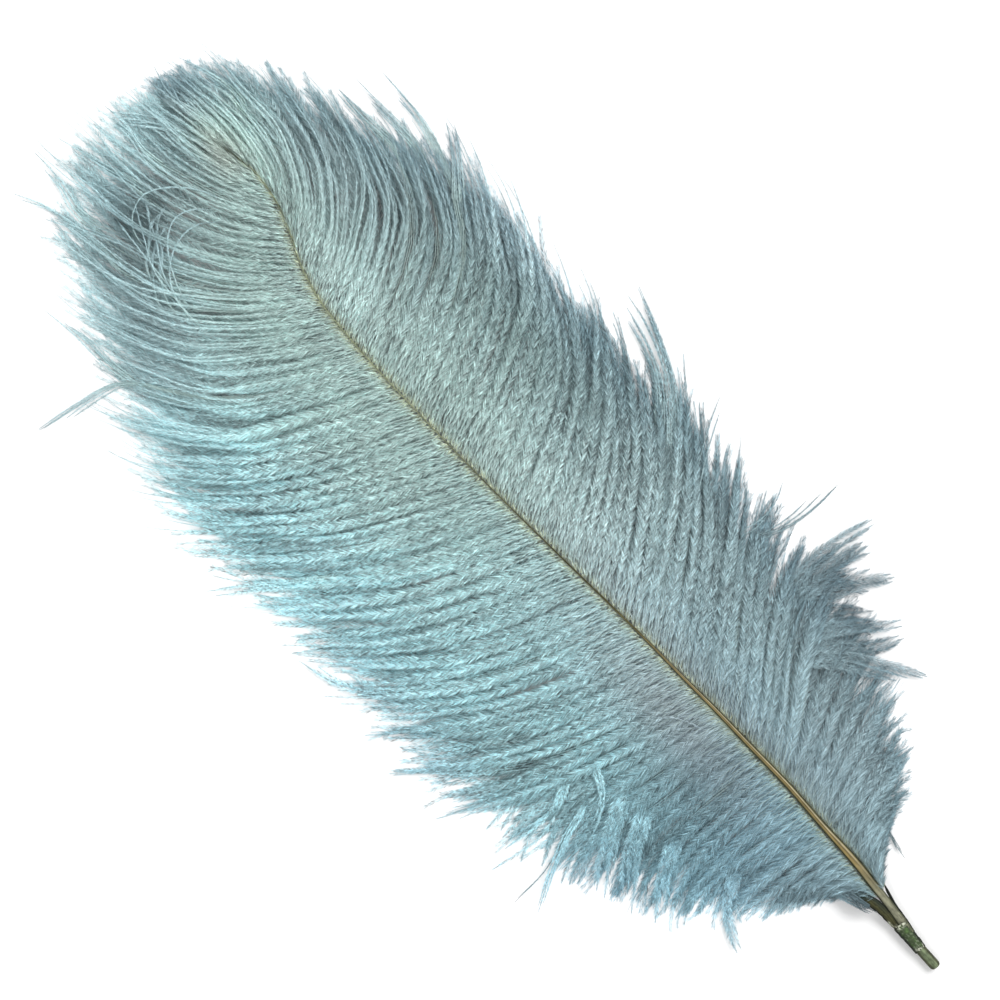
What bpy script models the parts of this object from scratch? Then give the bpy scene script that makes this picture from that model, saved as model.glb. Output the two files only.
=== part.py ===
"""Ostrich plume lying flat: the cut quill with its shaft, and the two vanes that grow from it.

+X runs from the quill to the tip, +Y to the left vane and +Z up. The origin is the middle of the
plume's bounding box, on the surface it lies on. Lengths below are in millimetres and angles in
degrees; MM turns the lengths into metres when the meshes are made.
"""

import math

import bmesh
import bpy
import numpy as np

MM = 0.001
PLUME = "ostrich_plume"
GROWTH = "grown_on_the_shaft"

# Quill and shaft: distance along the plume against offset to the left, height, and width.
SHAFT_LINE = (
    (-0.8, -0.1), (0.0, -0.15), (6.0, -0.25), (10.0, -0.7), (14.5, -1.65), (20.5, -2.25), (25.9, -2.75),
    (37.3, -3.6), (48.7, -3.8), (64.4, -4.35), (80.2, -4.1), (90.0, -4.0), (105.5, -3.5),
    (117.0, -3.2), (129.8, -2.65), (142.0, -2.05), (154.6, -1.45), (168.0, -0.85), (182.1, -0.4),
    (201.7, -0.05), (219.9, 0.05), (241.0, -0.7), (253.9, -3.2), (264.9, -7.8), (273.3, -10.9),
    (281.7, -12.1), (289.1, -11.4), (295.9, -9.2),
)
SHAFT_RISE = (
    (-0.8, 1.75), (14.0, 2.3), (26.0, 3.3), (60.0, 5.6), (100.0, 7.6), (150.0, 8.8), (200.0, 8.6),
    (240.0, 7.4), (270.0, 5.9), (295.9, 4.6),
)
SHAFT_WIDTH = (
    (-0.8, 3.0), (2.0, 3.1), (10.0, 3.1), (15.0, 2.8), (20.0, 2.6), (27.0, 2.4), (35.0, 2.1),
    (60.0, 1.8), (100.0, 1.4), (130.0, 1.1), (160.0, 0.9), (200.0, 0.75), (250.0, 0.6), (295.9, 0.36),
)
# Round quill, which tapers away inside the start of the grooved shaft.
QUILL_SIDES = 10
QUILL_WIDTH = (
    (-0.8, 3.0), (3.0, 3.1), (9.0, 3.15), (16.0, 2.85), (21.0, 2.6), (25.5, 2.4), (29.0, 1.7),
    (34.0, 0.8),
)
# Shaft's section as shares of its width: the ridges and groove on top, and the rounded underside.
SHAFT_TOP = ((0.24, 0.5), (0.0, 0.3), (-0.24, 0.5))
SHAFT_UNDER = ((0.3, -0.42), (0.0, -0.5), (-0.3, -0.42))

# Ragged skin left on the quill: a band round it and a strip peeled off towards the left vane.
SKIN_START = 6.0
SKIN_END = 14.0
SKIN_PROUD = 0.35
SKIN_SUNK = 0.45
SKIN_SIDES = 12
LEVEL = 1e-6
SKIN_RAG = (0.7, -0.5, 0.4, -0.8, 0.9, -0.3, 0.6, -0.7, 0.2, -0.6, 0.8, -0.4)
STRIP_PATH = ((10.5, 0.2, 1.9), (15.0, 0.4, 1.6), (20.0, 0.55, 1.35), (25.0, 0.7, 1.1),
              (30.0, 1.1, 0.9))
STRIP_HALF_WIDTHS = (0.6, 0.75, 1.1, 1.0, 0.25)
STRIP_FLATNESS = 0.45

# Barbs: root along the shaft, length, and direction away from it at each KNOT share of the length.
KNOTS = (0.0, 0.1, 0.4, 0.7, 1.0)
LEFT_BARBS = (
    (26.0, 19, 44, 48, 55, 66, 80),
    (32.0, 25, 52, 62, 72, 80, 90),
    (38.0, 32, 58, 74, 84, 90, 97),
    (46.0, 40, 62, 78, 86, 92, 102),
    (55.0, 46, 64, 80, 85, 92, 106),
    (70.0, 52, 64, 80, 85, 93, 110),
    (80.0, 57, 64, 78, 84, 90, 104),
    (90.0, 64, 62, 76, 80, 80, 86),
    (100.0, 69, 62, 76, 74, 66, 60),
    (120.0, 74, 60, 74, 70, 56, 46),
    (140.0, 77, 60, 72, 66, 52, 42),
    (160.0, 78, 60, 68, 64, 52, 38),
    (180.0, 80, 60, 66, 62, 50, 34),
    (200.0, 82, 60, 66, 62, 46, 24),
    (215.0, 83, 60, 66, 60, 38, 16),
    (230.0, 80, 58, 62, 52, 26, 10),
    (245.0, 75, 54, 56, 40, 16, 6),
    (255.0, 68, 46, 46, 26, 10, 6),
    (265.0, 61, 42, 38, 18, 8, 4),
    (275.0, 52, 36, 29, 16, 8, 3),
    (285.0, 43, 26, 22, 13, 7, 4),
    (295.9, 31, 14, 10, 7, 5, 4),
)
RIGHT_BARBS = (
    (26.0, 12, 34, 48, 56, 66, 76),
    (31.0, 17, 42, 60, 76, 84, 90),
    (37.0, 26, 50, 70, 84, 88, 90),
    (46.0, 35, 50, 68, 76, 76, 78),
    (55.0, 43, 50, 64, 66, 68, 76),
    (65.0, 51, 50, 60, 62, 70, 88),
    (75.0, 56, 50, 56, 60, 78, 96),
    (85.0, 64, 50, 57, 66, 84, 98),
    (95.0, 62, 50, 56, 60, 62, 64),
    (105.0, 61, 50, 56, 54, 48, 42),
    (120.0, 68, 50, 56, 51, 42, 30),
    (135.0, 75, 50, 60, 52, 38, 26),
    (150.0, 79, 50, 62, 56, 42, 18),
    (165.0, 78, 52, 66, 60, 38, 10),
    (180.0, 78, 54, 70, 62, 32, 6),
    (200.0, 80, 57, 72, 63, 30, 6),
    (215.0, 80, 58, 72, 64, 28, 6),
    (230.0, 76, 60, 72, 60, 24, 5),
    (245.0, 69, 60, 68, 48, 14, 1),
    (255.0, 61, 56, 60, 34, 6, -2),
    (265.0, 55, 48, 46, 17, 1, -4),
    (275.0, 47, 36, 26, 5, -4, -7),
    (285.0, 40, 22, 12, -1, -7, -8),
    (295.9, 28, 4, -4, -6, -7, -7),
)
FIRST_ROOT = 26.0
LAST_ROOT = 295.9

# Locks: each vane is a row of them, grown together to a notch and free beyond it.
LOCKS = 27
ROWS = (0.0, 0.05, 0.13, 0.24, 0.37, 0.5, 0.63, 0.75, 0.87, 1.0)
NOTCH_SHARE = 0.83
NOTCH_SPREAD = 0.05
LENGTH_SPREAD = 0.045
ROOT_JITTER = 0.16
LOCK_SEED = 11
# Thickness along a lock's crest, as shares of its length, and how much thinner a notch's is.
CREST_SHARES = (0.0, 0.1, 0.35, 0.6, 0.85, 1.0)
CREST_THICKNESS = (0.9, 1.7, 2.9, 2.7, 1.5, 0.5)
NOTCH_THINNING = 0.62
CREST_LIFT = 0.75
LIFT_SHARES = (0.0, 0.2, 0.7, 0.85, 1.0)
LIFT_GROWTH = (0.0, 1.0, 0.8, 0.25, 0.0)
VANE_ARCH = 2.4
VANE_ARCH_LEAN = 0.8
BARB_STEPS = 61
VANE_FALL = 1.8
LANDED_SHARE = 0.84
LANDED_HEIGHT = 0.3
GROUND_SNAP = 0.5
THINNEST = 0.2
ROOT_THICKNESS = 0.7

# Loose locks, which leave or cross the rows: path seen from above, half width and lift off the vane.
LEFT_LOOSE = (
    (((85.0, 28.0), (79.5, 38.0), (73.5, 46.0), (67.0, 53.0)), 2.4, 0.9),
    (((92.0, 29.0), (87.0, 39.0), (81.0, 48.0), (74.5, 56.0)), 2.2, 0.9),
    (((73.0, 28.0), (68.0, 38.0), (64.0, 44.0), (60.0, 49.5)), 2.0, 0.9),
    (((97.5, 40.0), (95.5, 50.0), (91.5, 60.0), (90.8, 71.0)), 1.1, 0.8),
    (((96.5, 42.0), (93.0, 52.0), (89.5, 60.0), (85.0, 68.0)), 1.0, 0.8),
    (((56.0, 22.0), (50.5, 30.0), (45.0, 34.0), (40.0, 36.0)), 1.6, 0.6),
    (((120.0, 50.0), (128.0, 59.0), (135.0, 66.0), (141.5, 73.0)), 1.6, 0.2),
    (((148.0, 49.0), (157.0, 60.5), (167.5, 67.6), (178.0, 70.4)), 1.4, 0.3),
    (((188.0, 48.0), (196.0, 58.5), (202.7, 66.8), (208.5, 74.5)), 1.5, 0.3),
    (((262.0, 49.0), (267.5, 55.0), (270.2, 65.0), (272.2, 77.0)), 0.9, 0.2),
    (((288.0, 32.0), (303.0, 33.0), (315.0, 35.5), (323.5, 40.0)), 1.1, 0.2),
    (((304.0, 30.0), (313.0, 30.5), (321.0, 28.5), (329.0, 28.2)), 1.2, 0.2),
    (((263.0, 50.5), (275.0, 52.6), (285.6, 52.9), (295.0, 54.6)), 1.1, 0.3),
)
RIGHT_LOOSE = (
    (((85.0, -31.0), (77.0, -39.5), (68.0, -45.0), (59.5, -50.0)), 2.2, 0.6),
    (((87.0, -34.0), (78.0, -43.0), (72.0, -50.0), (69.0, -56.0)), 2.2, 0.6),
    (((90.0, -36.0), (84.0, -45.0), (79.0, -51.5), (75.0, -57.5)), 2.0, 0.6),
    (((95.0, -42.0), (93.0, -50.0), (90.0, -57.0), (85.5, -63.5)), 1.6, 0.4),
    (((119.0, -42.0), (114.5, -53.0), (113.0, -63.0), (113.2, -73.0)), 1.2, 0.4),
    (((122.0, -41.0), (119.8, -51.0), (121.0, -59.0), (124.2, -65.2)), 0.9, 0.3),
    (((139.0, -41.0), (145.5, -50.5), (149.5, -57.5), (152.0, -62.5)), 0.9, 0.3),
    (((150.0, -43.0), (163.0, -55.0), (176.0, -62.0), (188.0, -66.5)), 1.9, 0.2),
    (((40.0, -17.0), (35.0, -16.0), (31.0, -14.8), (26.0, -13.8)), 0.6, 0.2),
    (((240.0, -47.0), (247.0, -53.0), (252.0, -57.0), (257.0, -60.0)), 1.6, 0.2),
    (((264.0, -45.0), (272.0, -44.2), (281.0, -43.6), (290.0, -43.8)), 1.2, 0.2),
    (((258.0, -49.0), (268.0, -49.5), (278.0, -49.2), (287.5, -49.0)), 1.2, 0.2),
    (((256.0, -53.0), (264.0, -55.2), (273.0, -56.4), (282.0, -56.5)), 1.2, 0.2),
)
LOOSE_POINTS = 7
LOOSE_FLATNESS = 0.5
LOOSE_TAPER = ((0.0, 0.55), (0.3, 1.0), (0.6, 0.8), (1.0, 0.16))
LOOSE_ARCH_LEAN = 0.7
LOOSE_FALL = 0.6
LOOSE_ALLOWANCE = 0.3
WELD_DISTANCE = 1e-6
LOOSE_BEVEL = 1
LOOSE_CLEARANCE = 0.08

PLUME_COLOUR = (0.28, 0.43, 0.47)
PLUME_ROUGHNESS = 0.9


def clear_scene():
    """Remove every object and the collections this script makes."""
    for old in list(bpy.data.objects):
        bpy.data.objects.remove(old, do_unlink=True)
    for name in (PLUME, GROWTH):
        if name in bpy.data.collections:
            bpy.data.collections.remove(bpy.data.collections[name])


def collection(name):
    """Make a collection in the scene."""
    made = bpy.data.collections.new(name)
    bpy.context.scene.collection.children.link(made)
    return made


def material(name, colour, roughness):
    """Make a plain Principled material."""
    made = bpy.data.materials.new(name)
    made.use_nodes = True
    shader = made.node_tree.nodes["Principled BSDF"]
    shader.inputs["Base Color"].default_value = (*colour, 1.0)
    shader.inputs["Roughness"].default_value = roughness
    shader.inputs["Metallic"].default_value = 0.0
    return made


def curve_through(points, at):
    """Read a smooth curve through (place, value) points, without overshoot."""
    places = np.array([p[0] for p in points], float)
    values = np.array([p[1] for p in points], float)
    spans = np.diff(places)
    rates = np.diff(values) / spans
    slopes = np.empty_like(places)
    slopes[0], slopes[-1] = rates[0], rates[-1]
    both = rates[:-1] * rates[1:]
    total = rates[:-1] + rates[1:]
    safe = np.where(np.abs(total) < 1e-12, 1.0, total)
    slopes[1:-1] = np.where(both > 0.0, 2.0 * both / safe, 0.0)
    at = np.asarray(at, float)
    cell = np.clip(np.searchsorted(places, at) - 1, 0, len(places) - 2)
    share = (at - places[cell]) / spans[cell]
    rest = 1.0 - share
    start = (1.0 + 2.0 * share) * rest ** 2 * values[cell]
    start_slope = share * rest ** 2 * spans[cell] * slopes[cell]
    end = share ** 2 * (3.0 - 2.0 * share) * values[cell + 1]
    end_slope = share ** 2 * rest * spans[cell] * slopes[cell + 1]
    return start + start_slope + end - end_slope


def shaft_points(places):
    """Centre points of the shaft at places along the plume."""
    offsets = curve_through(SHAFT_LINE, places)
    heights = curve_through(SHAFT_RISE, places)
    return np.column_stack([places, offsets, heights])


def barb_row(table, root):
    """Length and knot angles of the barb that grows at a root."""
    return [
        float(curve_through([(row[0], row[k]) for row in table], root))
        for k in range(1, len(KNOTS) + 2)
    ]


def vane_height(root_height, share):
    """Height of the vane's middle surface, from the shaft down to where it lies on the ground."""
    fallen = np.minimum(share / LANDED_SHARE, 1.0)
    base = root_height * (1.0 - fallen ** VANE_FALL) + LANDED_HEIGHT * fallen ** VANE_FALL
    return base + VANE_ARCH * np.sin(math.pi * fallen ** VANE_ARCH_LEAN)


def barb_path(table, side, root, shares, reach):
    """Points along a barb, at shares of its length, as far as reach of its full length."""
    values = barb_row(table, root)
    steps = np.linspace(0.0, 1.0, BARB_STEPS)
    turns = np.radians(curve_through(list(zip(KNOTS, values[1:])), steps))
    middle = 0.5 * (turns[1:] + turns[:-1])
    stride = values[0] / (len(steps) - 1)
    along = np.concatenate([[0.0], np.cumsum(np.cos(middle)) * stride])
    away = np.concatenate([[0.0], np.cumsum(np.sin(middle)) * stride])
    start = shaft_points(np.array([root]))[0]
    clear = 0.5 * float(curve_through(SHAFT_WIDTH, root))
    at = np.asarray(shares) * reach
    x = start[0] + np.interp(at, steps, along)
    y = start[1] + side * (clear + np.interp(at, steps, away))
    return np.column_stack([x, y, vane_height(start[2], at)])


def mesh_object(name, points, faces, home, finish):
    """Make a flat-shaded object from points in millimetres."""
    mesh = bpy.data.meshes.new(name)
    mesh.from_pydata([tuple(p * MM) for p in np.asarray(points)], [], faces)
    made = bpy.data.objects.new(name, mesh)
    home.objects.link(made)
    made.data.materials.append(finish)
    shell = bmesh.new()
    shell.from_mesh(mesh)
    bmesh.ops.recalc_face_normals(shell, faces=shell.faces)
    shell.to_mesh(mesh)
    shell.free()
    return made


def loft(name, rings, home, finish):
    """Join rings of equal counts into a closed body with flat ends."""
    sides = len(rings[0])
    faces = []
    for ring in range(len(rings) - 1):
        for k in range(sides):
            here = ring * sides + k
            beside = ring * sides + (k + 1) % sides
            faces.append((here, beside, beside + sides, here + sides))
    faces.append(tuple(range(sides)))
    faces.append(tuple((len(rings) - 1) * sides + k for k in range(sides)))
    return mesh_object(name, np.vstack(rings), faces, home, finish)


def quill(home, finish):
    """Round cut quill."""
    rings = []
    for place, width in QUILL_WIDTH:
        centre = shaft_points(np.array([place]))[0]
        turns = 2.0 * math.pi * np.arange(QUILL_SIDES) / QUILL_SIDES
        outline = np.column_stack([np.zeros(QUILL_SIDES), np.cos(turns), np.sin(turns)])
        rings.append(centre + 0.5 * width * outline)
    return loft("quill", rings, home, finish)


def skin_radius(turn, place, proud, height):
    """Radius of the skin at a place and turn, held above the surface the plume lies on."""
    radius = 0.5 * float(curve_through(SHAFT_WIDTH, place)) + proud
    drop = -math.sin(turn)
    return min(radius, height / drop) if drop > LEVEL else radius


def skin_band(home, finish):
    """Ragged band of skin round the quill, sunk into it."""
    rings = []
    for start, proud in ((SKIN_START, -SKIN_SUNK), (SKIN_START, SKIN_PROUD),
                         (SKIN_END, SKIN_PROUD), (SKIN_END, -SKIN_SUNK)):
        ring = []
        for k, rag in enumerate(SKIN_RAG):
            turn = 2.0 * math.pi * k / SKIN_SIDES
            place = start + (rag if start == SKIN_START else -rag)
            centre = shaft_points(np.array([place]))[0]
            radius = skin_radius(turn, place, proud, centre[2])
            ring.append(centre + radius * np.array([0.0, math.cos(turn), math.sin(turn)]))
        rings.append(np.array(ring))
    faces = []
    for ring in range(len(rings)):
        beyond = (ring + 1) % len(rings)
        for k in range(SKIN_SIDES):
            beside = (k + 1) % SKIN_SIDES
            faces.append((ring * SKIN_SIDES + k, ring * SKIN_SIDES + beside,
                          beyond * SKIN_SIDES + beside, beyond * SKIN_SIDES + k))
    return mesh_object("skin_band", np.vstack(rings), faces, home, finish)


def strand(name, path, half_widths, flatness, home, finish):
    """Tapered flattened strand along a path, from a bevelled curve."""
    data = bpy.data.curves.new(name, "CURVE")
    data.dimensions = "3D"
    data.bevel_depth = MM
    data.bevel_resolution = LOOSE_BEVEL
    data.use_fill_caps = True
    spline = data.splines.new("POLY")
    spline.points.add(len(path) - 1)
    for point, place, half in zip(spline.points, path, half_widths):
        point.co = (*(place * MM), 1.0)
        point.radius = half
    bent = bpy.data.objects.new(name + "_curve", data)
    home.objects.link(bent)
    bpy.context.view_layer.update()
    shape = bpy.data.meshes.new_from_object(bent.evaluated_get(bpy.context.evaluated_depsgraph_get()))
    bpy.data.objects.remove(bent, do_unlink=True)
    shell = bmesh.new()
    shell.from_mesh(shape)
    bmesh.ops.remove_doubles(shell, verts=shell.verts, dist=WELD_DISTANCE)
    for vertex in shell.verts:
        place = np.array(vertex.co) / MM
        near = path[np.argmin(np.hypot(path[:, 0] - place[0], path[:, 1] - place[1]))]
        vertex.co.z = MM * max(near[2] + flatness * (place[2] - near[2]), LOOSE_CLEARANCE)
    bmesh.ops.recalc_face_normals(shell, faces=shell.faces)
    shell.to_mesh(shape)
    shell.free()
    made = bpy.data.objects.new(name, shape)
    home.objects.link(made)
    made.data.materials.clear()
    made.data.materials.append(finish)
    return made


def fuse(body, others):
    """Grow other bodies together with one."""
    for other in others:
        joined = body.modifiers.new("with_" + other.name, "BOOLEAN")
        joined.operation = "UNION"
        joined.solver = "EXACT"
        joined.object = other
        other.hide_render = True
        other.display_type = "WIRE"


def peeled_strip(home, finish):
    """Strip of skin peeled off the quill's left side."""
    path = np.array(STRIP_PATH)
    return strand("peeled_strip", path, STRIP_HALF_WIDTHS, STRIP_FLATNESS, home, finish)


def lock_roots(rng):
    """Places along the shaft where notches and crests grow in turn, from quill to tip."""
    pitch = (LAST_ROOT - FIRST_ROOT) / (2 * LOCKS)
    roots = FIRST_ROOT + pitch * np.arange(2 * LOCKS + 1)
    roots[1:-1] += pitch * rng.uniform(-ROOT_JITTER, ROOT_JITTER, 2 * LOCKS - 1)
    return roots


def lock_edge(table, side, root, crest, rng):
    """Top and underside of a vane along one crest or notch, from the shaft outwards."""
    if crest:
        reach = 1.0 + rng.uniform(-LENGTH_SPREAD, 0.0)
    else:
        reach = NOTCH_SHARE + rng.uniform(-NOTCH_SPREAD, NOTCH_SPREAD)
    path = barb_path(table, side, root, ROWS, reach)
    shares = np.array(ROWS) * reach
    at_shaft = min(CREST_THICKNESS[0], ROOT_THICKNESS * float(curve_through(SHAFT_WIDTH, root)))
    thickness = np.interp(shares, CREST_SHARES, (at_shaft, *CREST_THICKNESS[1:]))
    grown = np.interp(shares, LIFT_SHARES, LIFT_GROWTH)
    if not crest:
        thickness = thickness * (1.0 - (1.0 - NOTCH_THINNING) * grown)
    middle = path[:, 2] + CREST_LIFT * grown * (1.0 if crest else -1.0)
    low = middle - 0.5 * thickness
    low[low < GROUND_SNAP] = 0.0
    high = np.maximum(middle + 0.5 * thickness, low + THINNEST)
    return np.column_stack([path[:, :2], high]), np.column_stack([path[:, :2], low])


def shaft_strip(root, outline):
    """Points across the shaft from left to right."""
    centre = shaft_points(np.array([root]))[0]
    width = float(curve_through(SHAFT_WIDTH, root))
    return np.array([centre + width * np.array([0.0, across, up]) for across, up in outline])


def vane_columns():
    """Strips from the left vane's edge over the shaft to the right vane's, top and underside."""
    rng = np.random.default_rng(LOCK_SEED)
    tops, unders = [], []
    for k, root in enumerate(lock_roots(rng)):
        left_top, left_under = lock_edge(LEFT_BARBS, 1, root, k % 2 == 1, rng)
        right_top, right_under = lock_edge(RIGHT_BARBS, -1, root, k % 2 == 1, rng)
        tops.append(np.vstack([left_top[::-1], shaft_strip(root, SHAFT_TOP), right_top]))
        unders.append(np.vstack([left_under[::-1], shaft_strip(root, SHAFT_UNDER), right_under]))
    return tops, unders


def vane_faces(columns, rows):
    """Faces of a closed grid: its top, its underside and the rim between them."""
    def at(layer, column, row):
        return (layer * columns + column) * rows + row

    faces = []
    for column in range(columns - 1):
        for row in range(rows - 1):
            for layer in (0, 1):
                faces.append((at(layer, column, row), at(layer, column + 1, row),
                              at(layer, column + 1, row + 1), at(layer, column, row + 1)))
    rim = [(column, 0) for column in range(columns)]
    rim += [(columns - 1, row) for row in range(1, rows)]
    rim += [(column, rows - 1) for column in range(columns - 2, -1, -1)]
    rim += [(0, row) for row in range(rows - 2, 0, -1)]
    for here, beside in zip(rim, rim[1:] + rim[:1]):
        faces.append((at(0, *here), at(0, *beside), at(1, *beside), at(1, *here)))
    return faces


def vanes_on_shaft(home, finish):
    """Shaft with both vanes' rows of grown-together locks, as one closed body."""
    tops, unders = vane_columns()
    faces = vane_faces(len(tops), len(tops[0]))
    return mesh_object("feather", np.vstack(tops + unders), faces, home, finish), np.vstack(tops)


def loose_path(points, lift, surface):
    """Path of a loose lock, laid on the vane's surface and down to the ground beyond it."""
    points = np.array(points)
    spans = np.concatenate([[0.0], np.cumsum(np.hypot(*np.diff(points, axis=0).T))])
    at = np.linspace(0.0, spans[-1], LOOSE_POINTS)
    x = curve_through(list(zip(spans, points[:, 0])), at)
    y = curve_through(list(zip(spans, points[:, 1])), at)
    heights = [surface[np.argmin(np.hypot(surface[:, 0] - a, surface[:, 1] - b)), 2]
               for a, b in zip(x, y)]
    fall = np.linspace(1.0, 0.0, LOOSE_POINTS)
    z = np.array(heights) + lift * np.sin(math.pi * fall ** LOOSE_ARCH_LEAN)
    z = np.minimum(z, LANDED_HEIGHT + (z[0] + lift) * fall ** LOOSE_FALL + LOOSE_ALLOWANCE)
    return np.column_stack([x, y, z])


def loose_locks(name, table, surface, home, finish):
    """Loose locks of one vane."""
    made = []
    for k, (points, half, lift) in enumerate(table):
        path = loose_path(points, lift, surface)
        share = np.linspace(0.0, 1.0, LOOSE_POINTS)
        taper = np.interp(share, *zip(*LOOSE_TAPER))
        made.append(strand(f"{name}_loose_{k:02d}", path, half * taper, LOOSE_FLATNESS, home, finish))
    return made


def centre(home, growth):
    """Move every mesh so that the origin is the bounding box's middle, on the ground."""
    graph = bpy.context.evaluated_depsgraph_get()
    corners = []
    for body in home.objects:
        shape = body.evaluated_get(graph).to_mesh()
        corners.append(np.array([v.co for v in shape.vertices]))
        body.evaluated_get(graph).to_mesh_clear()
    low = np.vstack(corners).min(axis=0)
    high = np.vstack(corners).max(axis=0)
    shift = -np.array([(low[0] + high[0]) / 2, (low[1] + high[1]) / 2, low[2]])
    for body in list(home.objects) + list(growth.objects):
        for vertex in body.data.vertices:
            vertex.co.x += shift[0]
            vertex.co.y += shift[1]
            vertex.co.z += shift[2]
        body.data.update()


def main():
    """Build the plume: one grown piece, its vanes and locks fused to the quill and shaft."""
    clear_scene()
    home = collection(PLUME)
    growth = collection(GROWTH)
    finish = material("plume_barbs", PLUME_COLOUR, PLUME_ROUGHNESS)
    feather, surface = vanes_on_shaft(home, finish)
    fuse(feather, [quill(growth, finish), skin_band(growth, finish), peeled_strip(growth, finish)])
    fuse(feather, loose_locks("left", LEFT_LOOSE, surface, growth, finish))
    fuse(feather, loose_locks("right", RIGHT_LOOSE, surface, growth, finish))
    centre(home, growth)


main()
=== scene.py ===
"""Looks of the ostrich plume: horn shaft, ragged quill, and about two thousand barbs with barbules.

Lengths are in millimetres until a mesh is made, and run from the middle of the quill's cut end:
+X to the tip, +Y to the left vane, +Z up.
"""

import logging
import math
from dataclasses import dataclass, field
from enum import Enum

import bmesh
import bpy
import numpy as np
from mathutils import Matrix, Vector


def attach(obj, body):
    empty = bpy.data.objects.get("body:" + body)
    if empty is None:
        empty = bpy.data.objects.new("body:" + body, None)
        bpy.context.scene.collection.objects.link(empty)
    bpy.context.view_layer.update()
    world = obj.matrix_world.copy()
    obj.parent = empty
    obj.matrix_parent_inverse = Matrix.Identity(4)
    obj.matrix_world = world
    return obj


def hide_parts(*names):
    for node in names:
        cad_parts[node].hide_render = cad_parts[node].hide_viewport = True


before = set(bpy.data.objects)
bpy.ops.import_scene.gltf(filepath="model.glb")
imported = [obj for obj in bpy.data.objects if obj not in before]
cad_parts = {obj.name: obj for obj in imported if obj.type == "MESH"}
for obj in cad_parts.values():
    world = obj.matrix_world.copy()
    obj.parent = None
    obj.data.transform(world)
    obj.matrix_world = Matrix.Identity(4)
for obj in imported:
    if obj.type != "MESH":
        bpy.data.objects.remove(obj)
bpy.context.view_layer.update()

log = logging.getLogger("plume")

MM = 0.001
PLUME = "feather"
BODY = "root"
# Middle of the quill's cut end in the CAD frame.
QUILL_ZERO = (-164.1045, -2.0039)
# Where the vanes begin and the shaft ends, from the quill's cut end.
VANE_START = 26.0
SHAFT_END = 295.9
KNOTS = (0.0, 0.1, 0.4, 0.7, 1.0)
WHITE = (1.0, 1.0, 1.0)
UP = (0.0, 0.0, 1.0)


class Side(Enum):
    """Which side of the shaft a vane grows on, seen from above with the tip ahead."""

    LEFT = 1
    RIGHT = -1


class Layer(Enum):
    """Whether barbs lie in the combed top of the vane, in the fluff below it or only fringe its edge."""

    TOP = 0
    UNDER = 1
    FRINGE = 2


def eased(low: float, high: float, at: np.ndarray) -> np.ndarray:
    """Rise smoothly from 0 at low to 1 at high."""
    share = np.clip((np.asarray(at, float) - low) / (high - low), 0.0, 1.0)
    return share * share * (3.0 - 2.0 * share)


def blended(low: np.ndarray, high: np.ndarray, share: np.ndarray) -> np.ndarray:
    """Go from low to high by a share."""
    return low * (1.0 - share) + high * share


@dataclass(frozen=True)
class Profile:
    """Smooth curve through (place, value) points that doesn't overshoot them."""

    points: tuple[tuple[float, float], ...]

    def at(self, places: np.ndarray) -> np.ndarray:
        """Read the curve.

        Args:
            places: Where to read it.

        Returns:
            The values there.
        """
        knots = np.array([p[0] for p in self.points], float)
        values = np.array([p[1] for p in self.points], float)
        spans = np.diff(knots)
        rates = np.diff(values) / spans
        slopes = np.empty_like(knots)
        slopes[0], slopes[-1] = rates[0], rates[-1]
        both = rates[:-1] * rates[1:]
        total = rates[:-1] + rates[1:]
        safe = np.where(np.abs(total) < 1e-12, 1.0, total)
        slopes[1:-1] = np.where(both > 0.0, 2.0 * both / safe, 0.0)
        places = np.asarray(places, float)
        cell = np.clip(np.searchsorted(knots, places) - 1, 0, len(knots) - 2)
        share = (places - knots[cell]) / spans[cell]
        rest = 1.0 - share
        rising = (1.0 + 2.0 * share) * rest**2 * values[cell]
        rising += share * rest**2 * spans[cell] * slopes[cell]
        falling = share**2 * (3.0 - 2.0 * share) * values[cell + 1]
        falling -= share**2 * rest * spans[cell] * slopes[cell + 1]
        return rising + falling


@dataclass(frozen=True)
class ShaftLine:
    """Run of the quill and shaft."""

    line: Profile = Profile((
        (-0.8, -0.1), (0, -0.15), (6, -0.25), (10, -0.7), (14.5, -1.65), (20.5, -2.25),
        (25.9, -2.75), (37.3, -3.6), (48.7, -3.8),
        (64.4, -4.35), (80.2, -4.1), (90, -4), (105.5, -3.5), (117, -3.2), (129.8, -2.65),
        (142, -2.05), (154.6, -1.45), (168, -0.85), (182.1, -0.4), (201.7, -0.05), (219.9, 0.05),
        (241, -0.7), (253.9, -3.2), (264.9, -7.8), (273.3, -10.9),
        (281.7, -12.1), (289.1, -11.4), (295.9, -9.2),
    ))
    rise: Profile = Profile((
        (-0.8, 1.75), (14, 2.3), (26, 3.3), (60, 5.6), (100, 7.6), (150, 8.8),
        (200, 8.6), (240, 7.4), (270, 5.9), (295.9, 4.6),
    ))
    width: Profile = Profile((
        (-0.8, 3), (2, 3.05), (10, 3.05), (15, 2.7), (20, 2.5), (27, 2.45), (38, 2.15),
        (50, 1.85), (70, 1.6), (90, 1.25), (110, 0.80), (130, 0.54), (160, 0.38), (200, 0.30),
        (250, 0.24), (295.9, 0.15),
    ))

    def centre(self, places: np.ndarray) -> np.ndarray:
        """Give the centre points at places along the plume.

        Args:
            places: Distances along the plume.

        Returns:
            One point a row.
        """
        places = np.asarray(places, float)
        return np.stack([places, self.line.at(places), self.rise.at(places)], axis=-1)


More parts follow.
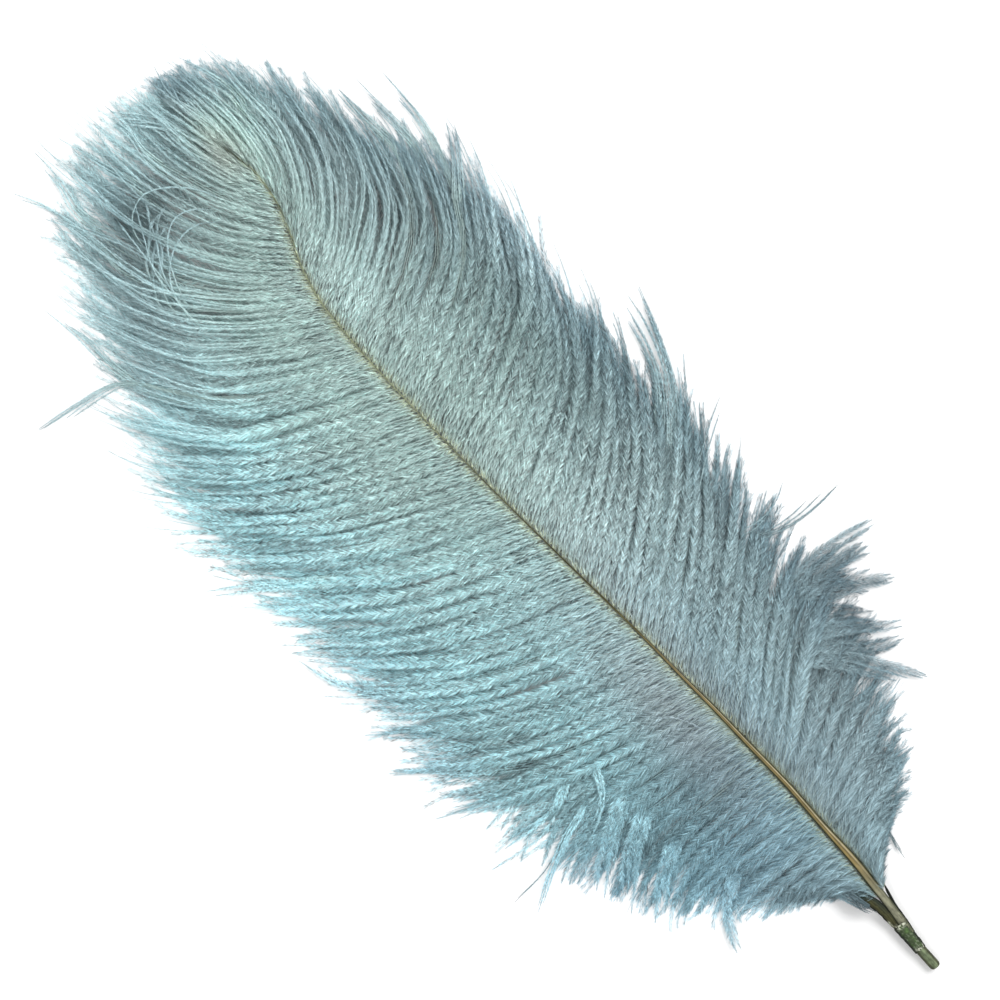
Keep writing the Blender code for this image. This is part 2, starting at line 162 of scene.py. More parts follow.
@dataclass(frozen=True)
class BarbField:
    """Where the barbs of one vane grow, how long they are and how they bend.

    Each station holds a root, the length of its barb, and the barb's direction at every knot of its length, in
    degrees from the plume's own.
    """

    side: Side
    stations: tuple[tuple[float, ...], ...]
    shaft: ShaftLine = ShaftLine()
    arch: float = 2.4
    fall: float = 1.8
    landed: float = 0.84
    landed_height: float = 0.5

    def paths(self, roots: np.ndarray, steps: int, turn: np.ndarray | float = 0.0,
              stretch: np.ndarray | float = 1.0) -> np.ndarray:
        """Lay barbs out from the shaft to their tips.

        Args:
            roots: Where each barb grows, along the plume.
            steps: Points a barb.
            turn: Degrees added to each barb's direction, per barb and step.
            stretch: Each barb's length as a share of the field's.

        Returns:
            Points by barb and step.
        """
        roots = np.asarray(roots, float)
        values = [
            Profile(tuple((row[0], row[k]) for row in self.stations)).at(roots)
            for k in range(1, len(KNOTS) + 2)
        ]
        shares = np.linspace(0.0, 1.0, steps)
        weights = np.stack([
            Profile(tuple((k, float(k == knot)) for k in KNOTS)).at(shares) for knot in KNOTS
        ])
        turns = np.radians(np.stack(values[1:], axis=1) @ weights + turn)
        middle = 0.5 * (turns[:, 1:] + turns[:, :-1])
        stride = (values[0] * stretch / (steps - 1))[:, None]
        still = np.zeros((len(roots), 1))
        along = np.hstack([still, np.cumsum(np.cos(middle) * stride, axis=1)])
        away = np.hstack([still, np.cumsum(np.sin(middle) * stride, axis=1)])
        start = self.shaft.centre(roots)
        clear = 0.5 * self.shaft.width.at(roots)
        height = self.height(start[:, 2:3], shares[None, :])
        x = start[:, 0:1] + along
        y = start[:, 1:2] + self.side.value * (clear[:, None] + away)
        return np.stack([x, y, height], axis=-1)

    def height(self, root_height: np.ndarray, share: np.ndarray) -> np.ndarray:
        """Give the vane's height at shares of a barb's length, from its root's height."""
        fallen = np.minimum(share / self.landed, 1.0)
        base = root_height * (1.0 - fallen**self.fall) + self.landed_height * fallen**self.fall
        return base + self.arch * np.sin(math.pi * fallen**0.8)


LEFT_FIELD = BarbField(Side.LEFT, (
    (22, 9, 20, 26, 36, 48, 62),
    (26, 14, 36, 42, 50, 62, 78),
    (32, 20, 50, 60, 71, 80, 90),
    (38, 26, 58, 74, 84, 90, 97),
    (46, 34, 62, 78, 86, 92, 102),
    (55, 42, 64, 80, 86, 96, 108),
    (70, 50, 64, 80, 87, 102, 118),
    (79, 54, 64, 78, 87, 102, 114),
    (85, 59, 63, 77, 82, 84, 84),
    (91, 69, 62, 76, 76, 64, 56),
    (100, 76, 62, 76, 71, 57, 48),
    (120, 80, 60, 74, 68, 54, 44),
    (140, 80, 60, 72, 66, 52, 42),
    (160, 80, 60, 68, 64, 52, 38),
    (180, 85, 60, 66, 62, 50, 34),
    (200, 84, 60, 67, 64, 44, 17),
    (215, 80, 60, 67, 62, 35, 11),
    (230, 79, 58, 63, 54, 25, 6),
    (245, 79, 54, 57, 42, 16, 3),
    (255, 75, 46, 48, 29, 10, 2),
    (265, 64, 42, 39, 20, 8, 2),
    (275, 52, 36, 29, 16, 8, 3),
    (285, 36, 26, 22, 13, 7, 4),
    (295.9, 23, 14, 10, 7, 5, 4),
))
RIGHT_FIELD = BarbField(Side.RIGHT, (
    (24, 9, 20, 30, 40, 48, 56),
    (26, 13, 27, 38, 48, 58, 70),
    (31, 18, 37, 52, 66, 77, 88),
    (37, 25, 46, 66, 80, 88, 92),
    (46, 35, 50, 68, 76, 76, 78),
    (55, 43, 50, 64, 64, 66, 74),
    (65, 50, 50, 58, 54, 60, 74),
    (75, 54, 50, 55, 48, 56, 72),
    (85, 57, 50, 54, 48, 54, 64),
    (95, 62, 50, 55, 50, 48, 48),
    (105, 69, 50, 56, 52, 44, 38),
    (120, 73, 50, 56, 51, 42, 30),
    (135, 71, 50, 60, 52, 38, 26),
    (150, 71, 50, 62, 56, 42, 18),
    (165, 72, 52, 66, 60, 38, 10),
    (180, 78, 54, 70, 62, 32, 6),
    (200, 80, 57, 72, 63, 30, 6),
    (215, 75, 58, 72, 64, 28, 6),
    (230, 69, 60, 72, 60, 24, 5),
    (245, 66, 60, 68, 48, 14, 1),
    (255, 63, 56, 60, 34, 6, -2),
    (265, 55, 48, 46, 17, 1, -4),
    (275, 46, 36, 26, 5, -4, -7),
    (285, 36, 22, 12, -1, -7, -8),
    (295.9, 27, 4, -4, -6, -7, -7),
))


@dataclass(frozen=True)
class Term:
    """Socket of a node tree that Python expressions can be made with."""

    graph: "Graph"
    socket: bpy.types.NodeSocket

    def _math(self, operation: str, *others: "Term | float") -> "Term":
        """Put a Math node on this socket."""
        return self.graph.math(operation, self, *others)

    def __add__(self, other: "Term | float") -> "Term":
        """Sum."""
        return self._math("ADD", other)

    __radd__ = __add__

    def __sub__(self, other: "Term | float") -> "Term":
        """Difference."""
        return self._math("SUBTRACT", other)

    def __rsub__(self, other: float) -> "Term":
        """Difference from a number."""
        return self.graph.math("SUBTRACT", other, self)

    def __mul__(self, other: "Term | float") -> "Term":
        """Product."""
        return self._math("MULTIPLY", other)

    __rmul__ = __mul__

    def __truediv__(self, other: "Term | float") -> "Term":
        """Quotient."""
        return self._math("DIVIDE", other)

    def __neg__(self) -> "Term":
        """Opposite."""
        return self._math("MULTIPLY", -1.0)

    def clamped(self) -> "Term":
        """Held between 0 and 1."""
        return self._math("MAXIMUM", 0.0)._math("MINIMUM", 1.0)

    def between(self, low: float, high: float) -> "Term":
        """Rise smoothly from 0 at low to 1 at high."""
        share = ((self - low) / (high - low)).clamped()
        return share * share * (3.0 - 2.0 * share)

    def bump_at(self, middle: float, half_width: float) -> "Term":
        """Be 1 at the middle and fall off smoothly to both sides."""
        off = (self - middle) / half_width
        return self.graph.math("EXPONENT", -(off * off))


@dataclass
class Graph:
    """Node tree that is put together with expressions."""

    tree: bpy.types.NodeTree

    def feed(self, socket: bpy.types.NodeSocket, value: object) -> None:
        """Link a term to a socket, or give the socket a plain value.

        Args:
            socket: The socket.
            value: The term or value.
        """
        if isinstance(value, Term):
            self.tree.links.new(value.socket, socket)
        else:
            socket.default_value = value

    def node(self, kind: str, settings: dict | None = None, inputs: dict | None = None) -> bpy.types.Node:
        """Add a node.

        Args:
            kind: Its type.
            settings: Its properties, set before its sockets.
            inputs: Values or terms by the socket's name or index.

        Returns:
            The node.
        """
        made = self.tree.nodes.new(kind)
        for name, value in (settings or {}).items():
            setattr(made, name, value)
        for name, value in (inputs or {}).items():
            self.feed(made.inputs[name], value)
        return made

    def term(self, kind: str, settings: dict | None = None, inputs: dict | None = None,
             output: str | int = 0) -> Term:
        """Add a node and give one of its outputs.

        Args:
            kind: Its type.
            settings: Its properties.
            inputs: Values or terms by the socket's name or index.
            output: The output's name or index.

        Returns:
            The output as a term.
        """
        return Term(self, self.node(kind, settings, inputs).outputs[output])

    def math(self, operation: str, *values: Term | float) -> Term:
        """Add a Math node on values."""
        return self.term("ShaderNodeMath", {"operation": operation}, dict(enumerate(values)))

    def xyz(self, *values: Term | float) -> Term:
        """Put a vector together."""
        return self.term("ShaderNodeCombineXYZ", None, dict(enumerate(values)))

    def split(self, vector: Term) -> list[Term]:
        """Take a vector apart."""
        parts = self.node("ShaderNodeSeparateXYZ", None, {0: vector})
        return [Term(self, output) for output in parts.outputs]

    def mix(self, share: Term | float, low: Term | tuple, high: Term | tuple, blend: str = "MIX") -> Term:
        """Mix two colours.

        Args:
            share: How much of the second.
            low: The first colour.
            high: The second colour.
            blend: How they mix.

        Returns:
            The mixed colour.
        """
        first, second = (c if isinstance(c, Term) else (*c, 1.0) for c in (low, high))
        settings = {"data_type": "RGBA", "blend_type": blend}
        return self.term("ShaderNodeMix", settings, {0: share, 6: first, 7: second}, 2)

    def grey(self, light: Term) -> Term:
        """Make a grey of a number."""
        return self.term("ShaderNodeCombineColor", None, {0: light, 1: light, 2: light})

    def times(self, colour: Term, other: Term) -> Term:
        """Multiply two colours."""
        return self.mix(1.0, colour, other, "MULTIPLY")

    def coated(self, colour: Term | tuple, *coats: tuple) -> Term:
        """Lay coats over a colour, in order.

        Args:
            colour: The colour below.
            coats: How much each coat covers, and its colour.

        Returns:
            The colour on top.
        """
        for share, coat in coats:
            colour = self.mix(share, colour, coat)
        return colour

    def attribute(self, name: str, output: str = "Fac") -> Term:
        """Read one of the mesh's own attributes in a material."""
        return self.term("ShaderNodeAttribute", {"attribute_name": name}, None, output)

    def noise(self, scale: float, detail: float = 2.0, stretch: tuple = (1.0, 1.0, 1.0)) -> Term:
        """Add noise on the object's own coordinates.

        Args:
            scale: Its fineness.
            detail: How many finer layers it has.
            stretch: Scale along each axis.

        Returns:
            Values around one half.
        """
        place = self.term("ShaderNodeTexCoord", None, None, "Object")
        placed = self.term("ShaderNodeMapping", None, {"Vector": place, "Scale": stretch})
        return self.term("ShaderNodeTexNoise", None, {"Vector": placed, "Scale": scale, "Detail": detail})

    def place(self) -> tuple[Term, Term, Term]:
        """Give the object's own coordinates from the quill's cut end, in millimetres."""
        x, y, z = (part / MM for part in self.split(self.term("ShaderNodeTexCoord", None, None, "Object")))
        return x - QUILL_ZERO[0], y - QUILL_ZERO[1], z


@dataclass(frozen=True)
class Finish:
    """Material made of nodes that feed a Principled shader."""

    name: str

    def inputs(self, graph: Graph) -> dict:
        """Give what feeds the shader, by the names of its sockets."""
        raise NotImplementedError

    def make(self) -> bpy.types.Material:
        """Build the material."""
        made = bpy.data.materials.new(self.name)
        made.use_nodes = True
        graph = Graph(made.node_tree)
        shader = made.node_tree.nodes["Principled BSDF"]
        for socket, value in self.inputs(graph).items():
            graph.feed(shader.inputs[socket], value)
        return made


@dataclass(frozen=True)
class BarbFinish(Finish):
    """Barbs of the dyed plume: teal on the left vane, greyer on the right, greenish near the upper shaft, with
    painted shade where barbs lie deep, in slits and hollows and towards barbule tips.
    """

    name: str = "plume_dyed_barbs"
    left: tuple = (0.430, 0.675, 0.715)
    left_low: tuple = (0.300, 0.520, 0.605)
    right: tuple = (0.365, 0.515, 0.550)
    right_low: tuple = (0.325, 0.445, 0.485)
    near_shaft: tuple = (0.455, 0.610, 0.580)
    base: tuple = (0.315, 0.455, 0.500)
    crown: tuple = (0.440, 0.590, 0.620)
    outer_right: tuple = (0.220, 0.345, 0.395)
    brown: tuple = (0.34, 0.27, 0.21)
    root: tuple = (0.40, 0.42, 0.23)
    root_stem: tuple = (0.47, 0.60, 0.56)
    tip_stem: tuple = (0.14, 0.20, 0.23)
    # Middle and half size of each tinted patch, and what it multiplies the colour by; those marked are painted
    # light or painted shade.
    tints: tuple = (
        # Painted light: the outer left vane made lighter.
        ((202, 46), (78, 24), (1.46, 1.38, 1.36)),
        ((95, 4), (38, 13), (0.92, 0.72, 0.72)),
        ((305, 2), (22, 45), (1.24, 1.22, 1.20)),
        # Painted shade on the left vane's first barbs, low beside the quill skin.
        ((25.5, 4.4), (4.5, 2.8), (0.34, 0.38, 0.40)),
        ((48, 23), (17, 13), (1.28, 1.22, 1.22)),
        ((150, -8), (32, 11), (1.33, 1.26, 1.25)),
        # Painted shade in the hollow at the right vane's base.
        ((92, -52), (33, 14), (0.55, 0.57, 0.60)),
        ((202, -36), (46, 11), (0.76, 0.78, 0.76)),
        ((258, 20), (26, 24), (1.13, 1.13, 1.12)),
        ((286, -40), (26, 8), (1.12, 1.12, 1.10)),
        ((216, -54), (22, 8), (1.54, 1.42, 1.40)),
        ((104, -38), (12, 9), (1.12, 1.12, 1.12)),
        ((27, 10), (12, 9), (1.20, 1.16, 1.16)),
        ((300, 22), (14, 9), (0.84, 0.88, 0.90)),
        ((168, -52), (28, 8), (0.80, 0.83, 0.84)),
        ((300, -20), (14, 10), (1.28, 1.28, 1.22)),
        ((274, 52), (13, 8), (0.78, 0.82, 0.82)),
        ((244, -8), (18, 8), (1.36, 1.31, 1.33)),
        ((76, 56), (15, 13), (0.64, 0.69, 0.74)),
        ((77, 15), (18, 13), (0.80, 0.81, 0.82)),
        ((136, 68), (50, 14), (0.82, 0.82, 0.86)),
        ((246, 37), (15, 10), (1.16, 1.15, 1.14)),
        ((146, -31), (30, 18), (1.16, 1.11, 1.09)),
        ((88, -9), (34, 9), (1.03, 1.09, 1.12)),
    )
    roughness: float = 0.62
    # Share of the colour left where a barb is in full painted shade.
    deep_share: float = 0.36

    def inputs(self, graph: Graph) -> dict:
        """Give what feeds the shader.

        Args:
            graph: The material's nodes.

        Returns:
            Values and terms by the names of the shader's sockets.
        """
        x, y, _ = graph.place()
        names = ("share", "barb", "along", "stem_part", "vane", "deep", "tone")
        share, barb, along, stem, side, deep, tone = (graph.attribute(name) for name in names)
        left = graph.mix(1.0 - x.between(50, 120), self.left, self.left_low)
        right = graph.mix(1.0 - x.between(50, 120), self.right, self.right_low)
        near = (1.0 - share.between(0.10, 0.70)) * x.between(110, 210)
        far = share.between(0.55, 0.95) * (1.0 - side)
        colour = graph.coated(
            graph.mix(side, right, left),
            ((1.0 - x.between(32, 62)) * 0.8, self.base),
            (x.between(225, 275) * 0.75, self.crown),
            (near * 0.85, self.near_shaft),
            (far * 0.8, self.outer_right),
        )
        for (mid_x, mid_y), (half_x, half_y), gain in self.tints:
            spot = x.bump_at(mid_x, half_x) * y.bump_at(mid_y, half_y)
            colour = graph.times(colour, graph.mix(spot, WHITE, gain))
        patch = x.bump_at(293, 8) * y.bump_at(-9, 5)
        rooted = (1.0 - share.between(0.0, 0.014)) * 0.55 + (1.0 - share.between(0.0, 0.05)) * 0.2
        bare = stem * share.between(0.0, 0.03) * (1.0 - share.between(0.08, 0.30))
        frayed = stem * share.between(0.86, 1.0)
        colour = graph.coated(
            colour,
            (patch * 0.4, self.brown),
            (rooted, self.root),
            (bare * 0.7, self.root_stem),
            (frayed * 0.75, self.tip_stem),
        )
        streaks = graph.noise(55.0, 3.0)
        light = 0.927 + barb * 0.18 + (streaks - 0.5) * 0.36
        crowned = x.between(215, 256) * share.between(0.06, 0.28)
        calm = 1.0 - (1.0 - x.between(75, 120)) * 0.3
        # Barbules are painted darker towards their tips, as shade where they run under the next barb; tone
        # varies at random from barbule to barbule.
        light = light + ((0.35 - along) * 0.60 + tone * 0.92) * (1.0 - stem) * (1.0 - crowned * 0.5) * calm
        light = light * (0.89 + share.between(0.04, 0.20) * 0.11)
        # Painted shade: barbs that lie deep under other layers, in slits and in hollows are darkened.
        light = light * (1.0 - deep * (1.0 - self.deep_share))
        return {
            "Base Color": graph.times(colour, graph.grey(light)),
            "Roughness": self.roughness + (barb - 0.5) * 0.2,
            "Sheen Weight": 0.15,
            "Sheen Roughness": 0.4,
            "Specular IOR Level": 0.3,
        }


@dataclass(frozen=True)
class HornFinish(Finish):
    """Horn of the quill and shaft: green-grey quill, ochre ridges, dark groove, fading to straw, with painted
    shade on its rounded sides and a painted highlight along its right ridge.
    """

    name: str = "plume_horn"
    quill: tuple = (0.120, 0.150, 0.085)
    bare: tuple = (0.190, 0.190, 0.130)
    cut: tuple = (0.340, 0.380, 0.260)
    ridge: tuple = (0.215, 0.162, 0.064)
    # Painted highlight along the right ridge.
    painted_highlight: tuple = (0.600, 0.530, 0.360)
    olive: tuple = (0.150, 0.145, 0.062)
    groove: tuple = (0.070, 0.064, 0.028)
    # Painted shade on the shaft's rounded sides.
    edge: tuple = (0.045, 0.050, 0.026)
    straw: tuple = (0.29, 0.33, 0.20)

    def inputs(self, graph: Graph) -> dict:
        """Give what feeds the shader.

        Args:
            graph: The material's nodes.

        Returns:
            Values and terms by the names of the shader's sockets.
        """
        x, _, _ = graph.place()
        lane = graph.attribute("lane")
        grooved = x.between(22, 34)
        grain = graph.noise(1300.0, 3.0, (0.12, 1.0, 1.0))
        blotch = graph.noise(620.0, 3.0)
        rim = (1.0 - x.between(-0.75, -0.1)) * (1.0 - blotch.between(0.45, 0.6) * 0.8)
        fading = x.between(100, 150)
        ridges = graph.math("ABSOLUTE", lane)
        # Painted highlight: a light band along the shaft's right ridge near the quill.
        painted_highlight_band = lane.bump_at(-0.36, 0.2) * x.between(24, 45) * (1.0 - x.between(95, 125))
        centre = lane.bump_at(0.06, 0.14) * grooved * x.between(34, 50)
        # Mask of the painted shade on the shaft's rounded sides.
        sides = (ridges - x.between(6, 9) * 0.17 + x.between(38, 50) * 0.2).between(0.34, 0.66)
        colour = graph.coated(
            self.quill,
            (x.between(8, 15), self.bare),
            (x.between(22, 39), self.ridge),
            (rim * 0.8, self.cut),
            (fading, self.olive),
            (painted_highlight_band * 0.9, self.painted_highlight),
            (centre * 0.8, self.groove),
            (sides * 0.92, self.edge),
            (fading * (1.0 - ridges.between(0.45, 0.8)), self.groove),
            (x.between(150, 235) * 0.9, self.straw),
        )
        rough_end = 1.0 - x.between(14, 30) * 0.6
        light = 1.0 + ((grain - 0.5) * 2.6 + (blotch - 0.5) * 2.2) * rough_end
        light = graph.math("MAXIMUM", light, 0.35)
        bump = {"Height": grain, "Strength": 0.35, "Distance": 0.3 * MM}
        return {
            "Base Color": graph.times(colour, graph.grey(light)),
            "Roughness": 0.38 + blotch * 0.25,
            "Specular IOR Level": 0.12,
            "Normal": graph.term("ShaderNodeBump", None, bump, "Normal"),
        }


@dataclass(frozen=True)
class SkinFinish(Finish):
    """Ragged dark skin left on the quill, dyed green and stained brown, with painted shade in teal where it
    runs in under the vanes.
    """

    name: str = "plume_quill_skin"
    green: tuple = (0.045, 0.065, 0.032)
    brown: tuple = (0.048, 0.047, 0.021)
    fleck: tuple = (0.23, 0.28, 0.19)
    moss: tuple = (0.060, 0.115, 0.032)
    pale: tuple = (0.46, 0.48, 0.38)
    rim: tuple = (0.010, 0.013, 0.010)
    # Painted shade, in the barbs' teal, where the skin runs in under the vanes.
    teal: tuple = (0.014, 0.030, 0.030)

    def inputs(self, graph: Graph) -> dict:
        """Give what feeds the shader.

        Args:
            graph: The material's nodes.

        Returns:
            Values and terms by the names of the shader's sockets.
        """
        x, y, _ = graph.place()
        blotch = graph.noise(800.0, 3.0)
        flecks = graph.noise(1900.0, 2.0, (0.6, 1.0, 1.0))
        ridges = graph.math("ABSOLUTE", graph.attribute("lane"))
        body = 1.0 - x.between(13.6, 15)
        torn = (1.0 - x.between(6.4, 7.4)) * flecks.between(0.42, 0.55)
        pale = x.bump_at(14.4, 0.7) * y.between(-2.6, -2.2) * (1.0 - y.between(0.4, 1.2))
        pale = (pale + x.bump_at(16.6, 1) * y.between(0.7, 1.0)).clamped()
        # Towards the strip's and blade's far ends, where they run in under the vanes' first barbs: painted
        # shade in teal.
        dark = x.between(17, 24) * (1.0 - y.between(-0.4, 0.8)) * 0.6 + x.between(24.5, 28)
        colour = graph.coated(
            self.brown,
            (body, self.green),
            (flecks.between(0.50, 0.66) * body * 0.45, self.fleck),
            (blotch.between(0.54, 0.68) * body * 0.65, self.moss),
            (torn, self.pale),
            (pale * flecks.between(0.36, 0.52), self.pale),
            (dark.clamped() * 0.85, self.teal),
            (ridges.between(0.52, 0.85) * 0.9 * (1.0 - pale), self.rim),
            (1.0 - y.between(-2.5, -2.2), self.rim),
        )
        striae = graph.math("SINE", graph.attribute("lane") * 13.0 + blotch * 9.0)
        light = 0.55 + blotch * 0.9 + striae * 0.32 * (1.0 - body)
        bump = {"Height": blotch, "Strength": 0.6, "Distance": 0.5 * MM}
        return {
            "Base Color": graph.times(colour, graph.grey(light)),
            "Roughness": 0.5 + blotch * 0.3,
            "Specular IOR Level": 0.1,
            "Normal": graph.term("ShaderNodeBump", None, bump, "Normal"),
        }


@dataclass(frozen=True)
class FloorFinish(Finish):
    """Plain pale floor."""

    name: str = "studio_floor"
    pale: float = 0.90

    def inputs(self, graph: Graph) -> dict:
        """Give what feeds the shader, by the names of its sockets."""
        light = self.pale + (graph.noise(3.0) - 0.5) * 0.01
        return {"Base Color": graph.grey(light), "Roughness": 1.0}


def to_frame(points: np.ndarray) -> np.ndarray:
    """Turn millimetres from the quill's cut end into metres in the CAD frame."""
    return (np.asarray(points, float) + (*QUILL_ZERO, 0.0)) * MM


def linked(name: str, data: bpy.types.ID) -> bpy.types.Object:
    """Put data into the scene as an object."""
    made = bpy.data.objects.new(name, data)
    bpy.context.scene.collection.objects.link(made)
    return made


def keep(mesh: bpy.types.Mesh, name: str, values: np.ndarray) -> None:
    """Keep numbers, or rows of three, as an attribute of a mesh's points."""
    vectors = np.ndim(values) > 1
    layer = mesh.attributes.new(name, "FLOAT_VECTOR" if vectors else "FLOAT", "POINT")
    layer.data.foreach_set("vector" if vectors else "value", np.ravel(values))


def new_object(name: str, points: np.ndarray, edges: list, faces: list) -> bpy.types.Object:
    """Make an object.

    Args:
        name: The piece's name.
        points: Its points, in millimetres from the quill's cut end.
        edges: Its edges, if it has no faces.
        faces: Its faces.

    Returns:
        The object, linked to the scene.
    """
    mesh = bpy.data.meshes.new(name)
    mesh.from_pydata(to_frame(points).tolist(), edges, faces)
    return linked(name, mesh)


def adopt(piece: bpy.types.Object) -> bpy.types.Object:
    """Let a piece ride on the plume's body in place of the plain solid."""
    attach(piece, BODY)
    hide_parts(PLUME)
    return piece


@dataclass
class BarbBundle:
    """Guide lines of many barbs, with what their stems and barbules need at each point."""

    steps: int
    lines: list = field(default_factory=list)
    values: dict = field(default_factory=dict)

    def add(self, paths: np.ndarray, **values: np.ndarray) -> None:
        """Add barbs.

        Args:
            paths: Points by barb and step.
            values: Numbers by barb and step, or that spread to it.
        """
        self.lines.append(paths)
        for name, value in values.items():
            array = np.asarray(value, float)
            full = array if array.ndim == 3 else np.broadcast_to(array, paths.shape[:2])
            self.values.setdefault(name, []).append(np.array(full))

    def guide(self, name: str) -> bpy.types.Object:
        """Make the object of guide lines.

        Args:
            name: The piece's name.

        Returns:
            A mesh of open edge chains with one attribute per value.
        """
        paths = np.concatenate(self.lines)
        count = len(paths)
        first = np.arange(count)[:, None] * self.steps + np.arange(self.steps - 1)[None, :]
        edges = np.stack([first.ravel(), first.ravel() + 1], axis=1)
        made = new_object(name, paths.reshape(-1, 3), edges.tolist(), [])
        spread = np.ones((count, self.steps))
        self.values["row"] = [(np.arange(count) + 0.5)[:, None] / count * spread]
        self.values["row_height"] = [spread / count]
        self.values["share"] = [np.linspace(0.0, 1.0, self.steps) * spread]
        for key, parts in self.values.items():
            full = np.concatenate(parts)
            keep(made.data, key, full.reshape(-1, 3) if full.ndim == 3 else full.ravel())
        return made


@dataclass(frozen=True)
class BarbuleShape:
    """One barbule: a sliver a unit long that ends in a point."""

    width: float = 0.052
    waist: float = 0.35
    sag: float = 0.05

    def make(self) -> bpy.types.Object:
        """Make the sliver, with its own share along and side across as attributes."""
        half = 0.5 * self.width
        mesh = bpy.data.meshes.new("barbule")
        points = [(0.0, -half, 0.0), (1.0, 0.0, -self.sag), (self.waist, half, 0.0)]
        mesh.from_pydata(points, [], [(0, 1, 2)])
        keep(mesh, "along", (0.0, 1.0, self.waist))
        keep(mesh, "wide", (-1.0, 0.0, 1.0))
        return linked("barbule", mesh)


@dataclass
class BarbTree:
    """Geometry Nodes that grow a stem and two rows of barbules along every guide line."""

    yaw_spread: float = 0.18
    own_yaw: float = 0.11
    droop_spread: float = 0.17
    roll_spread: float = 0.9
    size_spread: float = 0.24
    own_size: float = 0.12
    clump_tone: float = 0.50
    own_tone: float = 0.85
    clump: int = 3
    closing: float = 0.55
    least_reach: float = 0.1
    lowest: float = 0.03
    seed: int = 7
    graph: Graph = None
    sockets: dict = field(default_factory=dict)
    # Attributes that only the tree reads, which a grown mesh loses.
    spare: tuple = ("order", "up", "tangent", "side", "reach", "yaw", "droop", "stem", "rim", "over", "wide",
                    "row", "row_height", "full", "broad", "gap", "shown")

    def build(self) -> None:
        """Put the tree together."""
        self.graph = Graph(bpy.data.node_groups.new("barbs_with_barbules", "GeometryNodeTree"))
        face = self.graph.tree.interface
        face.new_socket("Guides", in_out="INPUT", socket_type="NodeSocketGeometry")
        for name, kind in (("Barbule", "NodeSocketObject"), ("Barbule Width", "NodeSocketFloat"),
                           ("Seed", "NodeSocketInt"), ("Finish", "NodeSocketMaterial")):
            self.sockets[name] = face.new_socket(name, in_out="INPUT", socket_type=kind).identifier
        face.new_socket("Barbs", in_out="OUTPUT", socket_type="NodeSocketGeometry")
        entry = self.graph.node("NodeGroupInput")
        given = {socket.name: Term(self.graph, socket) for socket in entry.outputs}
        lines = self.graph.term("GeometryNodeMeshToCurve", None, {"Mesh": given["Guides"]})
        grown = self._grounded(self._mapped(self._joined(self._stems(lines), self._barbules(lines, given))))
        solid = self.graph.term("GeometryNodeRealizeInstances", None, {"Geometry": grown})
        dressed = self.graph.term("GeometryNodeSetMaterial", None,
                                  {"Geometry": solid, "Material": given["Finish"]})
        self.graph.node("NodeGroupOutput", None, {"Barbs": dressed})

    def _read(self, name: str, kind: str = "FLOAT") -> Term:
        """Read one of the guide's attributes."""
        return self.graph.term("GeometryNodeInputNamedAttribute", {"data_type": kind}, {"Name": name})

    def _store(self, geometry: Term, name: str, value: Term | float, kind: str = "FLOAT",
               domain: str = "POINT") -> Term:
        """Keep a value as an attribute.

        Args:
            geometry: What carries it.
            name: The attribute's name.
            value: Its value.
            kind: Its type.
            domain: What it belongs to.

        Returns:
            The geometry with it.
        """
        node = self.graph.node("GeometryNodeStoreNamedAttribute", {"data_type": kind, "domain": domain},
                               {"Geometry": geometry, "Name": name})
        self.graph.feed(next(s for s in node.inputs if s.name == "Value" and s.enabled), value)
        return Term(self.graph, node.outputs[0])

    def _random(self, spread: float, seed: Term, salt: int, shared: Term | None = None) -> Term:
        """Give random numbers between minus and plus a spread.

        Args:
            spread: The most and, negative, the least.
            seed: The seed.
            salt: What sets this draw apart.
            shared: Number that points with the same draw have in common.

        Returns:
            The numbers, one for every point or for each that shares one.
        """
        own = {"Seed": seed + float(salt)}
        node = self.graph.node("FunctionNodeRandomValue", {"data_type": "FLOAT"}, own)
        if shared is not None:
            self.graph.feed(node.inputs["ID"], shared)
        least, most = [s for s in node.inputs if s.type == "VALUE" and s.enabled]
        least.default_value, most.default_value = -spread, spread
        return Term(self.graph, next(s for s in node.outputs if s.type == "VALUE" and s.enabled))

    def _compared(self, operation: str, value: Term, limit: float) -> Term:
        """Compare a value with a limit."""
        settings = {"data_type": "FLOAT", "operation": operation}
        return self.graph.term("FunctionNodeCompare", settings, {0: value, 1: limit})

    def _joined(self, *parts: Term) -> Term:
        """Join geometry."""
        both = self.graph.node("GeometryNodeJoinGeometry")
        for part in parts:
            self.graph.feed(both.inputs[0], part)
        return Term(self.graph, both.outputs[0])

    def _stems(self, lines: Term) -> Term:
        """Sweep a three-sided stem along every line that shows one.

        Args:
            lines: The guide lines.

        Returns:
            The stems.
        """
        term = self.graph.term
        ring = term("GeometryNodeCurvePrimitiveCircle", None, {"Resolution": 3, "Radius": 1.0})
        ring = self._store(ring, "rim", (term("GeometryNodeInputIndex") - 1.0) * 0.06)
        hidden = self._compared("LESS_THAN", self._read("shown"), 0.5)
        unshown = {"Geometry": lines, "Selection": hidden}
        bare = term("GeometryNodeDeleteGeometry", {"domain": "CURVE"}, unshown)
        swept = {"Curve": bare, "Profile Curve": ring, "Scale": self._read("stem"), "Fill Caps": True}
        stems = self._store(term("GeometryNodeCurveToMesh", None, swept), "over", self._read("rim"))
        return self._store(stems, "stem_part", 1.0)

